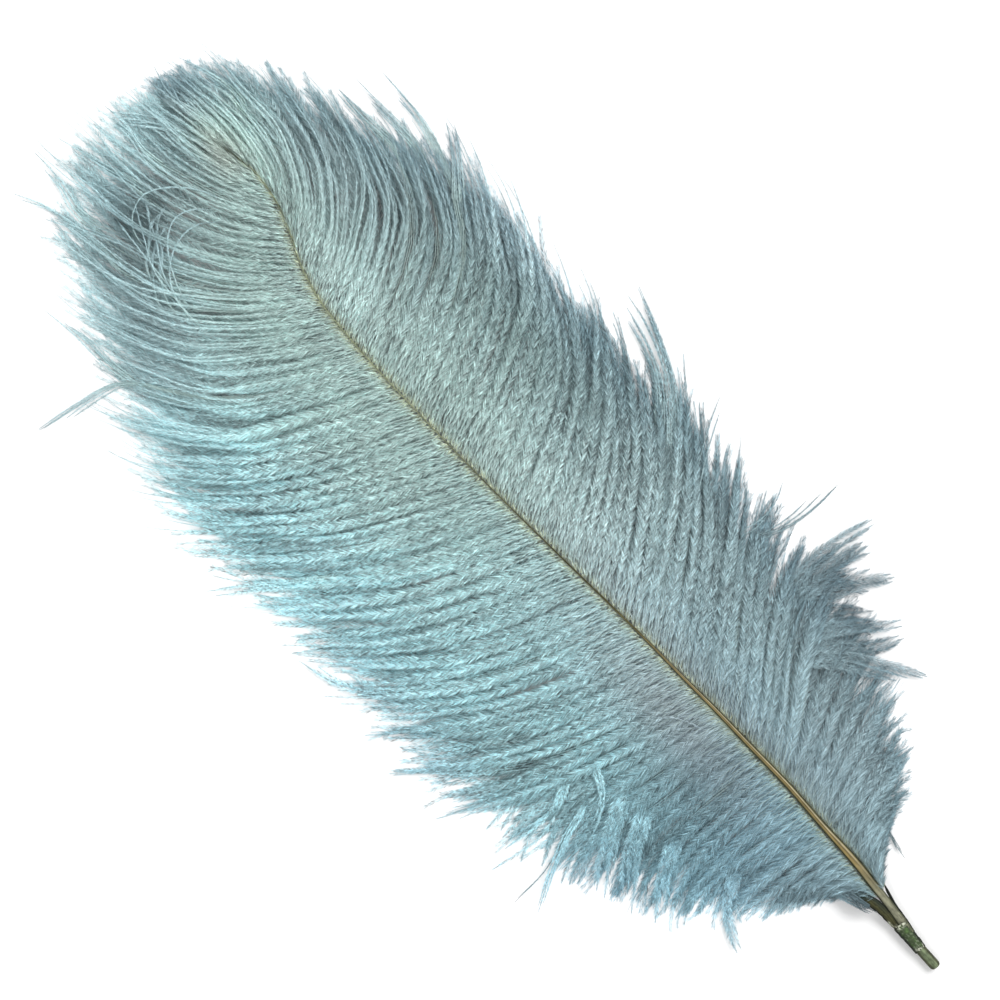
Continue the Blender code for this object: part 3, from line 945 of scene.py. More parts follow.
    def _barbules(self, lines: Term, given: dict) -> Term:
        """Set barbules on both sides of every line.

        Args:
            lines: The guide lines.
            given: The tree's inputs by name.

        Returns:
            The barbules, as plain mesh.
        """
        graph, gap, seed = self.graph, self._read("gap"), given["Seed"]
        spread = graph.node("GeometryNodeCurveToPoints", {"mode": "LENGTH"}, {"Curve": lines, "Length": gap})
        points, tangent = (Term(graph, spread.outputs[name]) for name in ("Points", "Tangent"))
        points = self._store(points, "tangent", tangent, "FLOAT_VECTOR")
        points = self._store(points, "order", graph.term("GeometryNodeInputIndex"))
        points = self._joined(*(self._store(points, "side", side) for side in (-1.0, 1.0)))
        side, order = self._read("side"), self._read("order")
        clump = graph.math("FLOOR", order / self.clump) * 2.0 + (side + 1.0) * 0.5
        step = graph.math("FLOORED_MODULO", order, float(self.clump)) - 0.5 * (self.clump - 1.0)
        tone = self._random(self.clump_tone, seed, 5, clump) + self._random(self.own_tone, seed, 6)
        points = self._store(points, "tone", tone)
        reach = self._read("reach") * (1.0 + self._random(self.size_spread, seed, 4, clump))
        lean = self._read("yaw") * (1.0 + self._random(self.yaw_spread, seed, 1, clump))
        ahead = reach * graph.math("COSINE", lean) - step * gap * self.closing
        aside = reach * graph.math("SINE", lean)
        size = graph.math("SQRT", ahead * ahead + aside * aside)
        size = size * (1.0 + self._random(self.own_size, seed, 8))
        placed = graph.term("GeometryNodeInstanceOnPoints", None, {
            "Points": points,
            "Selection": self._compared("GREATER_THAN", self._read("reach"), self.least_reach * MM),
            "Instance": graph.term("GeometryNodeObjectInfo", None, {"Object": given["Barbule"]}, "Geometry"),
            "Rotation": self._turned(side, graph.math("ARCTAN2", aside, ahead), seed),
            "Scale": graph.xyz(size, self._read("broad") / given["Barbule Width"] * side, size),
        })
        solid = graph.term("GeometryNodeRealizeInstances", None, {"Geometry": placed})
        return self._store(solid, "over", self._read("along") * side * 0.44)

    def _turned(self, side: Term, lean: Term, seed: Term) -> Term:
        """Turn barbules off their line.

        Args:
            side: 1 to the left of the line and -1 to its right.
            lean: Their angle with the line.
            seed: The seed.

        Returns:
            Their rotation.
        """
        line = self.graph.term("FunctionNodeAxesToRotation", {"primary_axis": "Z", "secondary_axis": "X"},
                               {"Primary Axis": self._read("up", "FLOAT_VECTOR"),
                                "Secondary Axis": self._read("tangent", "FLOAT_VECTOR")})
        yaw = side * (lean + self._random(self.own_yaw, seed, 7))
        droop = self._read("droop") + self._random(self.droop_spread, seed, 2)
        euler = self.graph.xyz(self._random(self.roll_spread, seed, 3), droop, yaw)
        own = self.graph.term("FunctionNodeEulerToRotation", None, {0: euler})
        return self.graph.term("FunctionNodeRotateRotation", {"rotation_space": "LOCAL"},
                               {"Rotation": line, "Rotate By": own})

    def _mapped(self, geometry: Term) -> Term:
        """Lay a map out with a row for every barb."""
        off = self._read("wide") * 0.4 * self._read("gap") / self._read("full")
        along = (self._read("share") + off).clamped()
        across = (self._read("row") + self._read("over") * self._read("row_height")).clamped()
        return self._store(geometry, "OFBake", self.graph.xyz(along, across), "FLOAT2", "CORNER")

    def _grounded(self, geometry: Term) -> Term:
        """Keep every point above the surface the plume lies on."""
        x, y, z = self.graph.split(self.graph.term("GeometryNodeInputPosition"))
        held = self.graph.xyz(x, y, self.graph.math("MAXIMUM", z, self.lowest * MM))
        return self.graph.term("GeometryNodeSetPosition", None, {"Geometry": geometry, "Position": held})

    def grow(self, guide: bpy.types.Object, barbule: bpy.types.Object, finish: bpy.types.Material) -> None:
        """Turn a guide object into a plain mesh of barbs, as a piece of the plume.

        Args:
            guide: Object of guide lines, which becomes the piece.
            barbule: The sliver to repeat.
            finish: The material.
        """
        grower = guide.modifiers.new("grow", "NODES")
        grower.node_group = self.graph.tree
        for name, value in (("Barbule", barbule), ("Barbule Width", BarbuleShape.width), ("Seed", self.seed),
                            ("Finish", finish)):
            grower[self.sockets[name]] = value
        depsgraph = bpy.context.evaluated_depsgraph_get()
        shape = bpy.data.meshes.new_from_object(guide.evaluated_get(depsgraph))
        guide.modifiers.clear()
        old, guide.data = guide.data, shape
        bpy.data.meshes.remove(old)
        for name in [a.name for a in shape.attributes if a.name in self.spare]:
            shape.attributes.remove(shape.attributes[name])
        adopt(guide)
        log.info("%s: %d triangles", guide.name, sum(len(p.vertices) - 2 for p in shape.polygons))


@dataclass(frozen=True)
class Ground:
    """Heights of the combed vanes, for what lies loose on them."""

    fields: tuple
    roots: int = 120
    steps: int = 48
    reach: float = 3.0
    outside: float = 0.6
    batch: int = 500

    def net(self) -> np.ndarray:
        """Give points spread over both vanes."""
        roots = np.linspace(VANE_START, SHAFT_END, self.roots)
        return np.concatenate([f.paths(roots, self.steps).reshape(-1, 3) for f in self.fields])

    def under(self, spots: np.ndarray) -> np.ndarray:
        """Read the vanes' height.

        Args:
            spots: Places seen from above, one a row.

        Returns:
            The height of the vanes at each, or the landed height beyond their edges.
        """
        net = self.net()
        heights = np.empty(len(spots))
        for start in range(0, len(spots), self.batch):
            part = spots[start:start + self.batch]
            off = np.linalg.norm(part[:, None, :] - net[None, :, :2], axis=2)
            near = off.argmin(axis=1)
            beyond = eased(self.reach, 3.0 * self.reach, off.min(axis=1))
            heights[start:start + self.batch] = blended(net[near, 2], self.outside, beyond)
        return heights


def sleekness(x: np.ndarray, shares: np.ndarray, side: Side) -> np.ndarray:
    """Tell where barbules lie along their barb and leave clean strands.

    Args:
        x: Places along the plume.
        shares: Shares of the barb's length.
        side: The vane.

    Returns:
        0 for fluff to 1 for clean strands.
    """
    crown = eased(215, 256, x) * eased(0.06, 0.28, shares)
    if side is Side.RIGHT:
        edge = eased(165, 215, x) * eased(0.50, 0.80, shares)
    else:
        edge = eased(195, 240, x) * eased(0.55, 0.85, shares)
    return np.maximum(crown, edge)


@dataclass(frozen=True)
class Groups:
    """Locks or wisps of barbs, between edges along the shaft."""

    edges: np.ndarray
    roots: np.ndarray

    @property
    def middles(self) -> np.ndarray:
        """Where their middles grow."""
        return 0.5 * (self.edges[1:] + self.edges[:-1])

    @property
    def own(self) -> np.ndarray:
        """Which group each barb is in."""
        return np.clip(np.searchsorted(self.edges, self.roots) - 1, 0, len(self.edges) - 2)

    @property
    def across(self) -> np.ndarray:
        """How far from its group's middle each barb grows, as a share of the group's width."""
        return ((self.roots - self.middles[self.own]) / np.diff(self.edges)[self.own])[:, None]

    def each(self, values: np.ndarray) -> np.ndarray:
        """Give every barb its group's value, one a row."""
        return values[self.own][:, None]


@dataclass
class Vane:
    """One vane: locks of barbs over looser fluff, split along the shaft into pieces."""

    barb_field: BarbField
    seed: int
    first: float = VANE_START
    last: float = SHAFT_END
    pitches: dict = field(default_factory=lambda: {Layer.TOP: 1.15, Layer.UNDER: 1.25, Layer.FRINGE: 1.15})
    gaps: dict = field(default_factory=lambda: {Layer.TOP: 0.20, Layer.UNDER: 0.34, Layer.FRINGE: 0.22})
    lock_pitch: float = 3.7
    wisp_pitch: float = 8.5
    steps: int = 28
    most_dense: float = 2.6
    lowest: float = 0.35
    slit_depth: float = 1.1
    slits: int = 7
    cuts: tuple = (20, 95, 165, 228, 296)
    messy: tuple = ((70, 26),)
    hollows: tuple = ()

    @property
    def shares(self) -> np.ndarray:
        """Shares of a barb's length at its steps, in one row."""
        return np.linspace(0.0, 1.0, self.steps)[None, :]

    def _roots(self, pitch: float, rng: np.random.Generator) -> np.ndarray:
        """Draw where barbs grow, closer together where their tips fan out.

        Args:
            pitch: Distance between roots where the barbs run parallel.
            rng: The random numbers.

        Returns:
            Distances along the plume.
        """
        places = np.linspace(self.first, self.last, 400)
        outer = self.barb_field.paths(places, 12)[:, 9, :2]
        fan = np.linalg.norm(np.gradient(outer, axis=0), axis=1) / np.gradient(places)
        dense = np.clip(0.15 + 0.85 * fan, 1.0, self.most_dense)
        dense = np.convolve(np.pad(dense, 8, mode="edge"), np.ones(17) / 17.0, mode="valid")
        filled = np.concatenate([[0.0], np.cumsum(0.5 * (dense[1:] + dense[:-1]) * np.diff(places))]) / pitch
        ticks = np.arange(int(filled[-1])) + 0.5
        ticks = ticks + rng.uniform(-0.3, 0.3, len(ticks))
        return np.interp(ticks, filled, places)

    def _edges(self, pitch: float, rng: np.random.Generator) -> np.ndarray:
        """Draw the edges between locks or wisps.

        Args:
            pitch: Their usual width.
            rng: The random numbers.

        Returns:
            Distances along the plume.
        """
        edges = [self.first]
        while edges[-1] < self.last:
            edges.append(edges[-1] + pitch * rng.uniform(0.5, 1.5))
        return np.array(edges)

    def _mess(self, roots: np.ndarray) -> np.ndarray:
        """Tell how unruly the barbs that grow at roots are."""
        hills = (np.exp(-((roots - middle) / half) ** 2) for middle, half in self.messy)
        return sum(hills, np.zeros_like(roots))

    def _wander(self, rng: np.random.Generator, count: int, size: float) -> np.ndarray:
        """Draw slow waves of direction along barbs.

        Args:
            rng: The random numbers.
            count: How many barbs.
            size: The usual size of the slowest wave, in degrees.

        Returns:
            Degrees by barb and step.
        """
        waves = np.zeros((count, self.steps))
        for turns in (1.3, 2.7, 4.4):
            phase = rng.uniform(0.0, 2.0 * math.pi, (count, 1))
            heights = rng.normal(0.0, size / turns, (count, 1))
            waves += heights * np.sin(2.0 * math.pi * turns * self.shares + phase)
        return waves * eased(0.0, 0.25, self.shares)

    def lay(self, bundles: list[BarbBundle]) -> None:
        """Lay all barbs of the vane into one bundle per stretch of the shaft.

        Args:
            bundles: The bundles, from quill to tip.
        """
        rng = np.random.default_rng(self.seed)
        edges = self._edges(self.lock_pitch, rng), self._edges(self.wisp_pitch, rng)
        for layer in Layer:
            self._lay_layer(layer, edges, rng, bundles)

    def _lay_layer(self, layer: Layer, edges: tuple[np.ndarray, np.ndarray], rng: np.random.Generator,
                   bundles: list[BarbBundle]) -> None:
        """Lay one layer's barbs.

        Args:
            layer: The layer.
            edges: The edges between locks and those between wisps.
            rng: The random numbers.
            bundles: The bundles, from quill to tip.
        """
        top = layer is Layer.TOP
        roots = self._roots(self.pitches[layer], rng)
        count = len(roots)
        locks, wisps = (Groups(each, roots) for each in edges)
        number = len(locks.middles)
        lock_turn = rng.normal(0.0, 2.5, number) + rng.normal(0.0, 10.0, number) * self._mess(locks.middles)
        lock_stretch = 1.0 + rng.uniform(-0.05, 0.05, number)
        lift = rng.uniform(-0.4, 0.6, number)
        wisp_turn, wisp_lift = self._wisp_ways(len(wisps.middles))
        turned = eased(0.25, 0.9, self.shares)
        lock_way = locks.each(lock_turn) * turned
        wisp_way = wisps.each(wisp_turn) * eased(0.3, 0.95, self.shares)
        turn = lock_way * float(top) + self._wander(rng, count, 2.6 if top else 4.0)
        turn += rng.normal(0.0, 12.0, (count, 1)) * eased(0.84, 1.0, self.shares)
        crowned = eased(225, 262, roots)[:, None]
        turn += (rng.normal(0.0, 5.5, (count, 1)) * turned + self._wander(rng, count, 5.0)) * crowned
        turn = turn + wisp_way * float(top)
        stretch, hairy = self._stretches(lock_stretch[locks.own], wisps, rng)
        if not top:
            mess = 1.0 + self._mess(roots)
            turn += rng.normal(0.0, 5.0, (count, 1)) * turned * mess[:, None]
            shortest, longest = (0.88, 0.99) if layer is Layer.UNDER else (0.92, 1.03)
            stretch = rng.uniform(shortest, longest, count) * (1.0 + 0.1 * self._mess(roots))
        paths = self.barb_field.paths(roots, self.steps, turn, stretch)
        slit = self._slits(locks)
        if top:
            gather = 0.20 * eased(0.1, 0.5, self.shares) + 0.36 * slit
            centres = self._middles(locks, lock_way + wisp_way, lock_stretch[locks.own])
            paths[..., :2] = blended(paths[..., :2], centres, gather[..., None])
            pull = wisps.each(rng.uniform(0.45, 0.85, len(wisps.middles))) * eased(0.62, 1.0, self.shares)
            pull = pull * (1.0 - 0.5 * self._mess(roots))[:, None]
            aims = self._middles(wisps, 0.5 * (lock_way + wisp_way), stretch)
            paths[..., :2] = blended(paths[..., :2], aims, pull[..., None])
        sunk = np.maximum(slit, self._hollow(paths))
        lifted = locks.each(lift) + wisps.each(wisp_lift)
        height = self._height(layer, locks.across, lifted, rng)
        paths[..., 2] += height - self.slit_depth * sunk * float(top)
        paths[..., 2] = np.maximum(paths[..., 2], self.lowest)
        roll = -1.0 * locks.across * eased(0.1, 0.4, self.shares) * self.barb_field.side.value
        up = ups(paths, roll + rng.normal(0.0, 0.22, (count, 1)))
        values = self._numbers(rng, paths, layer)
        if top:
            values["reach"] = values["reach"] * (1.0 - 0.85 * hairy[:, None] * eased(0.82, 0.92, self.shares))
        # Barbs in slits and hollows are painted darker, as shade.
        values["deep"] = np.clip(values["deep"] + (0.56 if top else 0.8) * sunk, 0.0, 1.0)
        # Locks that lie higher are painted lighter: each barb takes most of its tone from its lock's lift.
        values["barb"] = 0.4 * values["barb"] + 0.6 * (0.5 + locks.each(lift))
        for bundle, low, high in zip(bundles, self.cuts, self.cuts[1:]):
            part = (roots >= low) & (roots < high)
            bundle.add(paths[part], up=up[part], **{k: v[part] for k, v in values.items()})

    def _middles(self, groups: Groups, turn: np.ndarray, stretch: np.ndarray) -> np.ndarray:
        """Run the middle barb of each barb's group, seen from above.

        Args:
            groups: The locks or wisps.
            turn: Degrees added to its direction, by barb and step.
            stretch: Its length as a share of the field's.

        Returns:
            Points by barb and step.
        """
        roots = groups.middles[groups.own].clip(self.first, self.last)
        return self.barb_field.paths(roots, self.steps, turn, stretch)[..., :2]

    def _stretches(self, lock_stretch: np.ndarray, wisps: Groups,
                   rng: np.random.Generator) -> tuple[np.ndarray, np.ndarray]:
        """Draw how long barbs of the top layer are.

        Args:
            lock_stretch: Length of each barb's lock, as a share of the field's.
            wisps: The wisps.
            rng: The random numbers.

        Returns:
            Each barb's length as a share of the field's, and whether it ends in a bare hair.
        """
        count = len(lock_stretch)
        stretch = lock_stretch * (1.0 + rng.normal(0.0, 0.03, count))
        stretch *= 1.07 - 0.20 * np.abs(2.0 * wisps.across[:, 0]) ** 1.5
        stretch *= np.where(rng.random(count) < 0.12, rng.uniform(0.80, 0.97, count), 1.0)
        hairy = rng.random(count) < 0.16
        return stretch * np.where(hairy, rng.uniform(1.03, 1.10, count), 1.0), hairy

    def _slits(self, locks: Groups) -> np.ndarray:
        """Tell where barbs at a lock's edge dive into the slit beside it.

        Args:
            locks: The locks.

        Returns:
            0 for level to 1 for deep, by barb and step.
        """
        rng = np.random.default_rng(self.seed + 1)
        count = len(locks.middles)
        calm = locks.each(1.0 - 0.45 * (1.0 - eased(70, 120, locks.middles)))
        slit = np.zeros((len(locks.roots), self.steps))
        for _ in range(self.slits):
            middle = locks.each(rng.uniform(0.10, 0.92, count))
            half = locks.each(rng.uniform(0.03, 0.085, count))
            flank = locks.each(rng.choice([-1.0, 1.0], count))
            force = locks.each(rng.uniform(0.2, 1.0, count))
            beside = eased(0.12, 0.5, locks.across * flank)
            slit = np.maximum(slit, force * beside * np.exp(-((self.shares - middle) / half) ** 2))
        furrow = locks.each(rng.uniform(0.0, 0.45, count)) * eased(0.28, 0.5, np.abs(locks.across))
        inner = furrow * eased(0.07, 0.18, self.shares) * (1.0 - eased(0.3, 0.7, self.shares))
        return calm * np.maximum(slit, inner)

    def _wisp_ways(self, count: int) -> tuple[np.ndarray, np.ndarray]:
        """Draw how far each wisp turns, in degrees, and how high it lies over its neighbours."""
        rng = np.random.default_rng(self.seed + 2)
        return rng.normal(0.0, 4.0, count), rng.uniform(-0.5, 0.7, count)

    def _hollow(self, paths: np.ndarray) -> np.ndarray:
        """Tell where barbs cross a hollow of the vane.

        Args:
            paths: Points by barb and step.

        Returns:
            0 for none to 1 for deep, by barb and step.
        """
        sunk = np.zeros(paths.shape[:2])
        for x, y, half_x, half_y, force in self.hollows:
            off = ((paths[..., 0] - x) / half_x) ** 2 + ((paths[..., 1] - y) / half_y) ** 2
            sunk = np.maximum(sunk, force * np.exp(-off))
        return sunk

    def _height(self, layer: Layer, across: np.ndarray, lift: np.ndarray,
                rng: np.random.Generator) -> np.ndarray:
        """Give how far above or below the combed vane barbs run.

        Args:
            layer: The layer.
            across: How far from its lock's middle each barb grows.
            lift: How high its lock and wisp lie, in millimetres.
            rng: The random numbers.

        Returns:
            Millimetres by barb and step.
        """
        shares, count = self.shares, len(across)
        crown = 1.5 * (0.45 - 4.0 * across**2) * eased(0.12, 0.4, shares) * (1.0 - eased(0.82, 1.0, shares))
        height = crown + lift * eased(0.15, 0.4, shares) + rng.normal(0.0, 0.25, (count, 1))
        height = height + 0.02 * self._wander(rng, count, 10.0)
        if layer is Layer.UNDER:
            height = 0.3 * height - 1.7 * (1.0 - 0.7 * eased(0.6, 1.0, shares))
        if layer is Layer.FRINGE:
            height = 0.5 * height - 0.6
        return height * eased(0.0, 0.12, shares)

    def _numbers(self, rng: np.random.Generator, paths: np.ndarray, layer: Layer) -> dict:
        """Give what the barbs' stems and barbules are made and coloured by.

        Args:
            rng: The random numbers.
            paths: Points by barb and step.
            layer: The layer.

        Returns:
            Numbers by barb and step, for each name. Lengths are in metres and angles in radians.
        """
        x, shares, top = paths[..., 0], self.shares, layer is Layer.TOP
        spread, each = np.ones(x.shape), (len(paths), 1)
        sleek = sleekness(x, shares, self.barb_field.side) * float(top)
        reach, yaw, broad = self._plumage(layer, x, sleek)
        reach = reach * rng.uniform(0.85, 1.15, each)
        stem = (0.090 - 0.045 * eased(0.04, 0.30, shares) - 0.015 * shares) * rng.uniform(0.85, 1.15, each)
        stem = stem + 0.015 * sleek * (1.0 - eased(0.8, 1.0, shares))
        full = np.linalg.norm(np.diff(paths, axis=1), axis=2).sum(axis=1)[:, None]
        return {
            "reach": reach * MM,
            "yaw": np.radians(yaw) * spread,
            "droop": math.radians(7.0) * (1.0 if top else 0.6) * spread,
            "stem": stem * MM,
            "barb": rng.random(each) * spread,
            "vane": float(self.barb_field.side is Side.LEFT) * spread,
            "deep": self._deep(layer, x),
            "full": full * spread * MM,
            "broad": broad * spread * MM,
            "gap": self.gaps[layer] * spread * MM,
            "shown": float(top) * spread,
        }

    def _plumage(self, layer: Layer, x: np.ndarray, sleek: np.ndarray) -> tuple[np.ndarray, ...]:
        """Give the barbules' length, their angle with the barb in degrees, and their width.

        Args:
            layer: The layer.
            x: Places along the plume, by barb and step.
            sleek: Where the barbules lie along their barb.

        Returns:
            The three, each by barb and step or by step alone.
        """
        shares = self.shares
        fuzz = 2.55 + 0.3 * eased(0.2, 0.55, shares)
        yaw = 28.5 - 4.0 * eased(0.4, 0.8, shares)
        if layer is Layer.UNDER:
            reach = 2.0 + 0.9 * eased(0.0, 0.09, shares) - 1.3 * eased(0.8, 1.0, shares)
            return reach, yaw, 0.30 - 0.18 * eased(0.6, 0.95, shares)
        if layer is Layer.FRINGE:
            reach = (2.4 - 1.2 * eased(0.8, 1.0, shares)) * eased(0.50, 0.58, shares)
            return reach, yaw, 0.11 - 0.03 * eased(0.8, 1.0, shares)
        combed = (1.0 - eased(0.05, 0.20, shares)) * np.ones((len(x), 1))
        low = 1.0 - eased(40, 85, x)
        combed = np.maximum(combed, low * (1.0 - eased(0.35, 0.75, shares)))
        wide = 1.0 - eased(70, 120, x)
        smooth = np.maximum(sleek, combed)
        reach = fuzz * (1.0 - smooth) + (1.5 * sleek + (2.9 + 0.7 * wide) * (1.0 - sleek)) * smooth
        yaw = yaw * (1.0 - smooth) + (14.0 * sleek + (12.0 + 4.5 * wide) * (1.0 - sleek)) * smooth
        reach = reach * (1.0 - 0.72 * eased(0.70, 1.0, shares))
        yaw = yaw * (1.0 - 0.45 * eased(0.75, 1.0, shares))
        return reach, yaw, 0.105 - 0.035 * eased(0.75, 1.0, shares)

    def _deep(self, layer: Layer, x: np.ndarray) -> np.ndarray:
        """Tell how far barbs lie in the shade of the layers over them.

        Args:
            layer: Their layer.
            x: Places along the plume, by barb and step.

        Returns:
            0 for lit to 1 for dark, by barb and step.
        """
        if layer is Layer.TOP:
            return np.zeros(x.shape)
        if layer is Layer.FRINGE:
            return (0.45 - 0.45 * eased(0.6, 0.9, self.shares)) * np.ones(x.shape)
        shade = 0.6 - 0.5 * eased(0.6, 0.95, self.shares) - 0.5 * (1.0 - eased(0.12, 0.34, self.shares))
        return shade * (1.0 - 0.6 * eased(230, 265, x))


def ups(paths: np.ndarray, roll: np.ndarray) -> np.ndarray:
    """Give each point of barbs the direction that is up for its barbules.

    Args:
        paths: Points by barb and step.
        roll: Radians that each point leans to its barb's left.

    Returns:
        Unit vectors by barb and step.
    """
    along = np.gradient(paths, axis=1)
    along /= np.linalg.norm(along, axis=2)[..., None]
    up = np.zeros_like(paths)
    up[..., 2] = 1.0
    up -= (along[..., 2:3]) * along
    up /= np.linalg.norm(up, axis=2)[..., None]
    left = np.cross(up, along)
    roll = np.broadcast_to(roll, paths.shape[:2])[..., None]
    return np.cos(roll) * up + np.sin(roll) * left


def through(points: np.ndarray, count: int) -> np.ndarray:
    """Run a smooth curve through points.

    Args:
        points: The points, one a row.
        count: How many points to give.

    Returns:
        Evenly spread points along the curve.
    """
    points = np.asarray(points, float)
    spans = np.linalg.norm(np.diff(points, axis=0), axis=1)
    knots = np.concatenate([[0.0], np.cumsum(spans)])
    slopes = np.gradient(points, knots, axis=0)
    places = np.linspace(0.0, knots[-1], count)
    cell = np.clip(np.searchsorted(knots, places) - 1, 0, len(spans) - 1)
    t = ((places - knots[cell]) / spans[cell])[:, None]
    span = spans[cell][:, None]
    start = (1.0 + 2.0 * t) * (1.0 - t) ** 2 * points[cell] + t * (1.0 - t) ** 2 * span * slopes[cell]
    return start + t**2 * (3.0 - 2.0 * t) * points[cell + 1] - t**2 * (1.0 - t) * span * slopes[cell + 1]


def beside(line: np.ndarray) -> np.ndarray:
    """Give level unit vectors to the left of a line, one a point."""
    along = np.gradient(line, axis=0)
    across = np.stack([-along[:, 1], along[:, 0], np.zeros(len(line))], axis=1)
    return across / np.linalg.norm(across, axis=1)[:, None]


@dataclass(frozen=True)
class Tuft:
    """Lock or single barb that has left the combed vane and lies loose on it.

    Its way is seen from above. Fluff is the length of its barbules, and yaw their angle with the barb. Pale
    makes its barbs lighter, below zero darker, by the same factor as the vanes' painted shade.
    """

    way: tuple
    half_width: float = 0.0
    barbs: int = 1
    lift: float = 0.6
    fluff: float = 1.5
    spread_at_tip: float = 0.5
    pale: float = 0.0
    yaw: float = 30.0


@dataclass
class LooseBarbs:
    """All that lies loose: tufts at the vane's edges, strays and the loops near the tip."""

    tufts: tuple
    seed: int = 5
    steps: int = 30
    inner_steps: int = 8
    sunk: float = 1.0
    lowest: float = 0.3
    vane_steps: int = 60
    smoothings: int = 2

    def _home(self, barb_field: BarbField, spot: tuple) -> tuple[float, int]:
        """Find the barb of the combed vane that passes nearest to a place.

        Args:
            barb_field: The vane.
            spot: The place, seen from above.

        Returns:
            The barb's root and the step nearest to the place.
        """
        roots = np.linspace(VANE_START, 295, 180)
        paths = barb_field.paths(roots, self.vane_steps)[..., :2]
        off = np.linalg.norm(paths - np.array(spot), axis=2)
        row, step = np.unravel_index(off.argmin(), off.shape)
        return float(roots[row]), int(max(step, 2))

    def lay(self, bundle: BarbBundle) -> None:
        """Lay every tuft's barbs into a bundle.

        Args:
            bundle: The bundle.
        """
        rng = np.random.default_rng(self.seed)
        ground = Ground((LEFT_FIELD, RIGHT_FIELD))
        for tuft in self.tufts:
            self._lay_tuft(tuft, bundle, ground, rng)

    def _lay_tuft(self, tuft: Tuft, bundle: BarbBundle, ground: Ground, rng: np.random.Generator) -> None:
        """Lay one tuft: each barb runs in its vane first and then along the tuft's way.

        Args:
            tuft: The tuft.
            bundle: Where its barbs go.
            ground: What it lies on.
            rng: The random numbers.
        """
        shaft_y = LEFT_FIELD.shaft.line.at(np.array([tuft.way[0][0]]))[0]
        barb_field = LEFT_FIELD if tuft.way[0][1] > shaft_y else RIGHT_FIELD
        root, step = self._home(barb_field, tuft.way[0])
        outer = self.steps - self.inner_steps
        across = np.linspace(-1.0, 1.0, tuft.barbs) if tuft.barbs > 1 else np.zeros(1)
        across = across + rng.uniform(-0.4, 0.4, tuft.barbs) / max(tuft.barbs, 2)
        shares = np.linspace(0.0, 1.0, outer)
        way = through(np.array(tuft.way), outer)
        along = np.gradient(way, axis=0)
        along /= np.linalg.norm(along, axis=1)[:, None]
        normal = np.stack([-along[:, 1], along[:, 0]], axis=1)
        heading = np.sign(normal[0, 0]) or 1.0
        width = tuft.half_width * (1.0 - (1.0 - 1.6 * tuft.spread_at_tip) * shares)
        for off in across:
            size = rng.normal(0.0, 0.35)
            wave = size * np.sin(shares * rng.uniform(3.0, 7.0) + rng.uniform(0.0, 6.0)) * shares
            outer_way = way + normal * (off * width + wave * (0.4 + 0.3 * tuft.half_width))[:, None]
            reach = rng.uniform(0.55, 1.05) if tuft.barbs > 1 else 1.0
            outer_way = way[0] + (outer_way - way[0]) * reach + (outer_way[0] - way[0]) * (1.0 - reach)
            own_root = np.clip([root + heading * off * tuft.half_width], VANE_START, 295.5)
            inner = barb_field.paths(own_root, self.vane_steps)[0, :step, :2]
            picked = inner[np.linspace(0, max(step - 3, 0), self.inner_steps).astype(int)]
            flat = np.concatenate([picked, outer_way])
            for _ in range(self.smoothings):
                flat[1:-1] = 0.25 * flat[:-2] + 0.5 * flat[1:-1] + 0.25 * flat[2:]
            height = ground.under(flat)
            height[0] = barb_field.shaft.rise.at(own_root)[0]
            place = np.arange(self.steps) - self.inner_steps
            raised = -self.sunk + (self.sunk + tuft.lift + rng.uniform(-0.2, 0.3)) * eased(-1, 5, place)
            raised[0] = 0.0
            path = np.column_stack([flat, np.maximum(height + raised, self.lowest)])[None]
            self._add(tuft, bundle, path, barb_field.side, rng)

    def _add(self, tuft: Tuft, bundle: BarbBundle, path: np.ndarray, side: Side,
             rng: np.random.Generator) -> None:
        """Put one barb with its numbers into the bundle.

        Args:
            tuft: The tuft it belongs to.
            bundle: The bundle.
            path: Its points.
            side: Its vane.
            rng: The random numbers.
        """
        outer = self.steps - self.inner_steps
        place = np.arange(self.steps) - self.inner_steps
        tip = eased(0.75 * outer, outer, place)
        reach = tuft.fluff * (1.0 - 0.8 * tip) * eased(-2, 1, place)[None, :]
        length = np.linalg.norm(np.diff(path, axis=1), axis=2).sum()
        # Pale enters as the negated painted shade.
        bundle.add(
            path, up=ups(path, rng.normal(0.0, 0.3)), reach=reach * MM,
            yaw=math.radians(tuft.yaw) * (1.0 - 0.4 * tip)[None, :],
            droop=math.radians(6.0), stem=(0.085 - 0.03 * tip)[None, :] * MM, barb=rng.random(),
            vane=float(side is Side.LEFT), deep=-tuft.pale, full=length * MM, broad=0.12 * MM, gap=0.24 * MM,
            shown=1.0,
        )
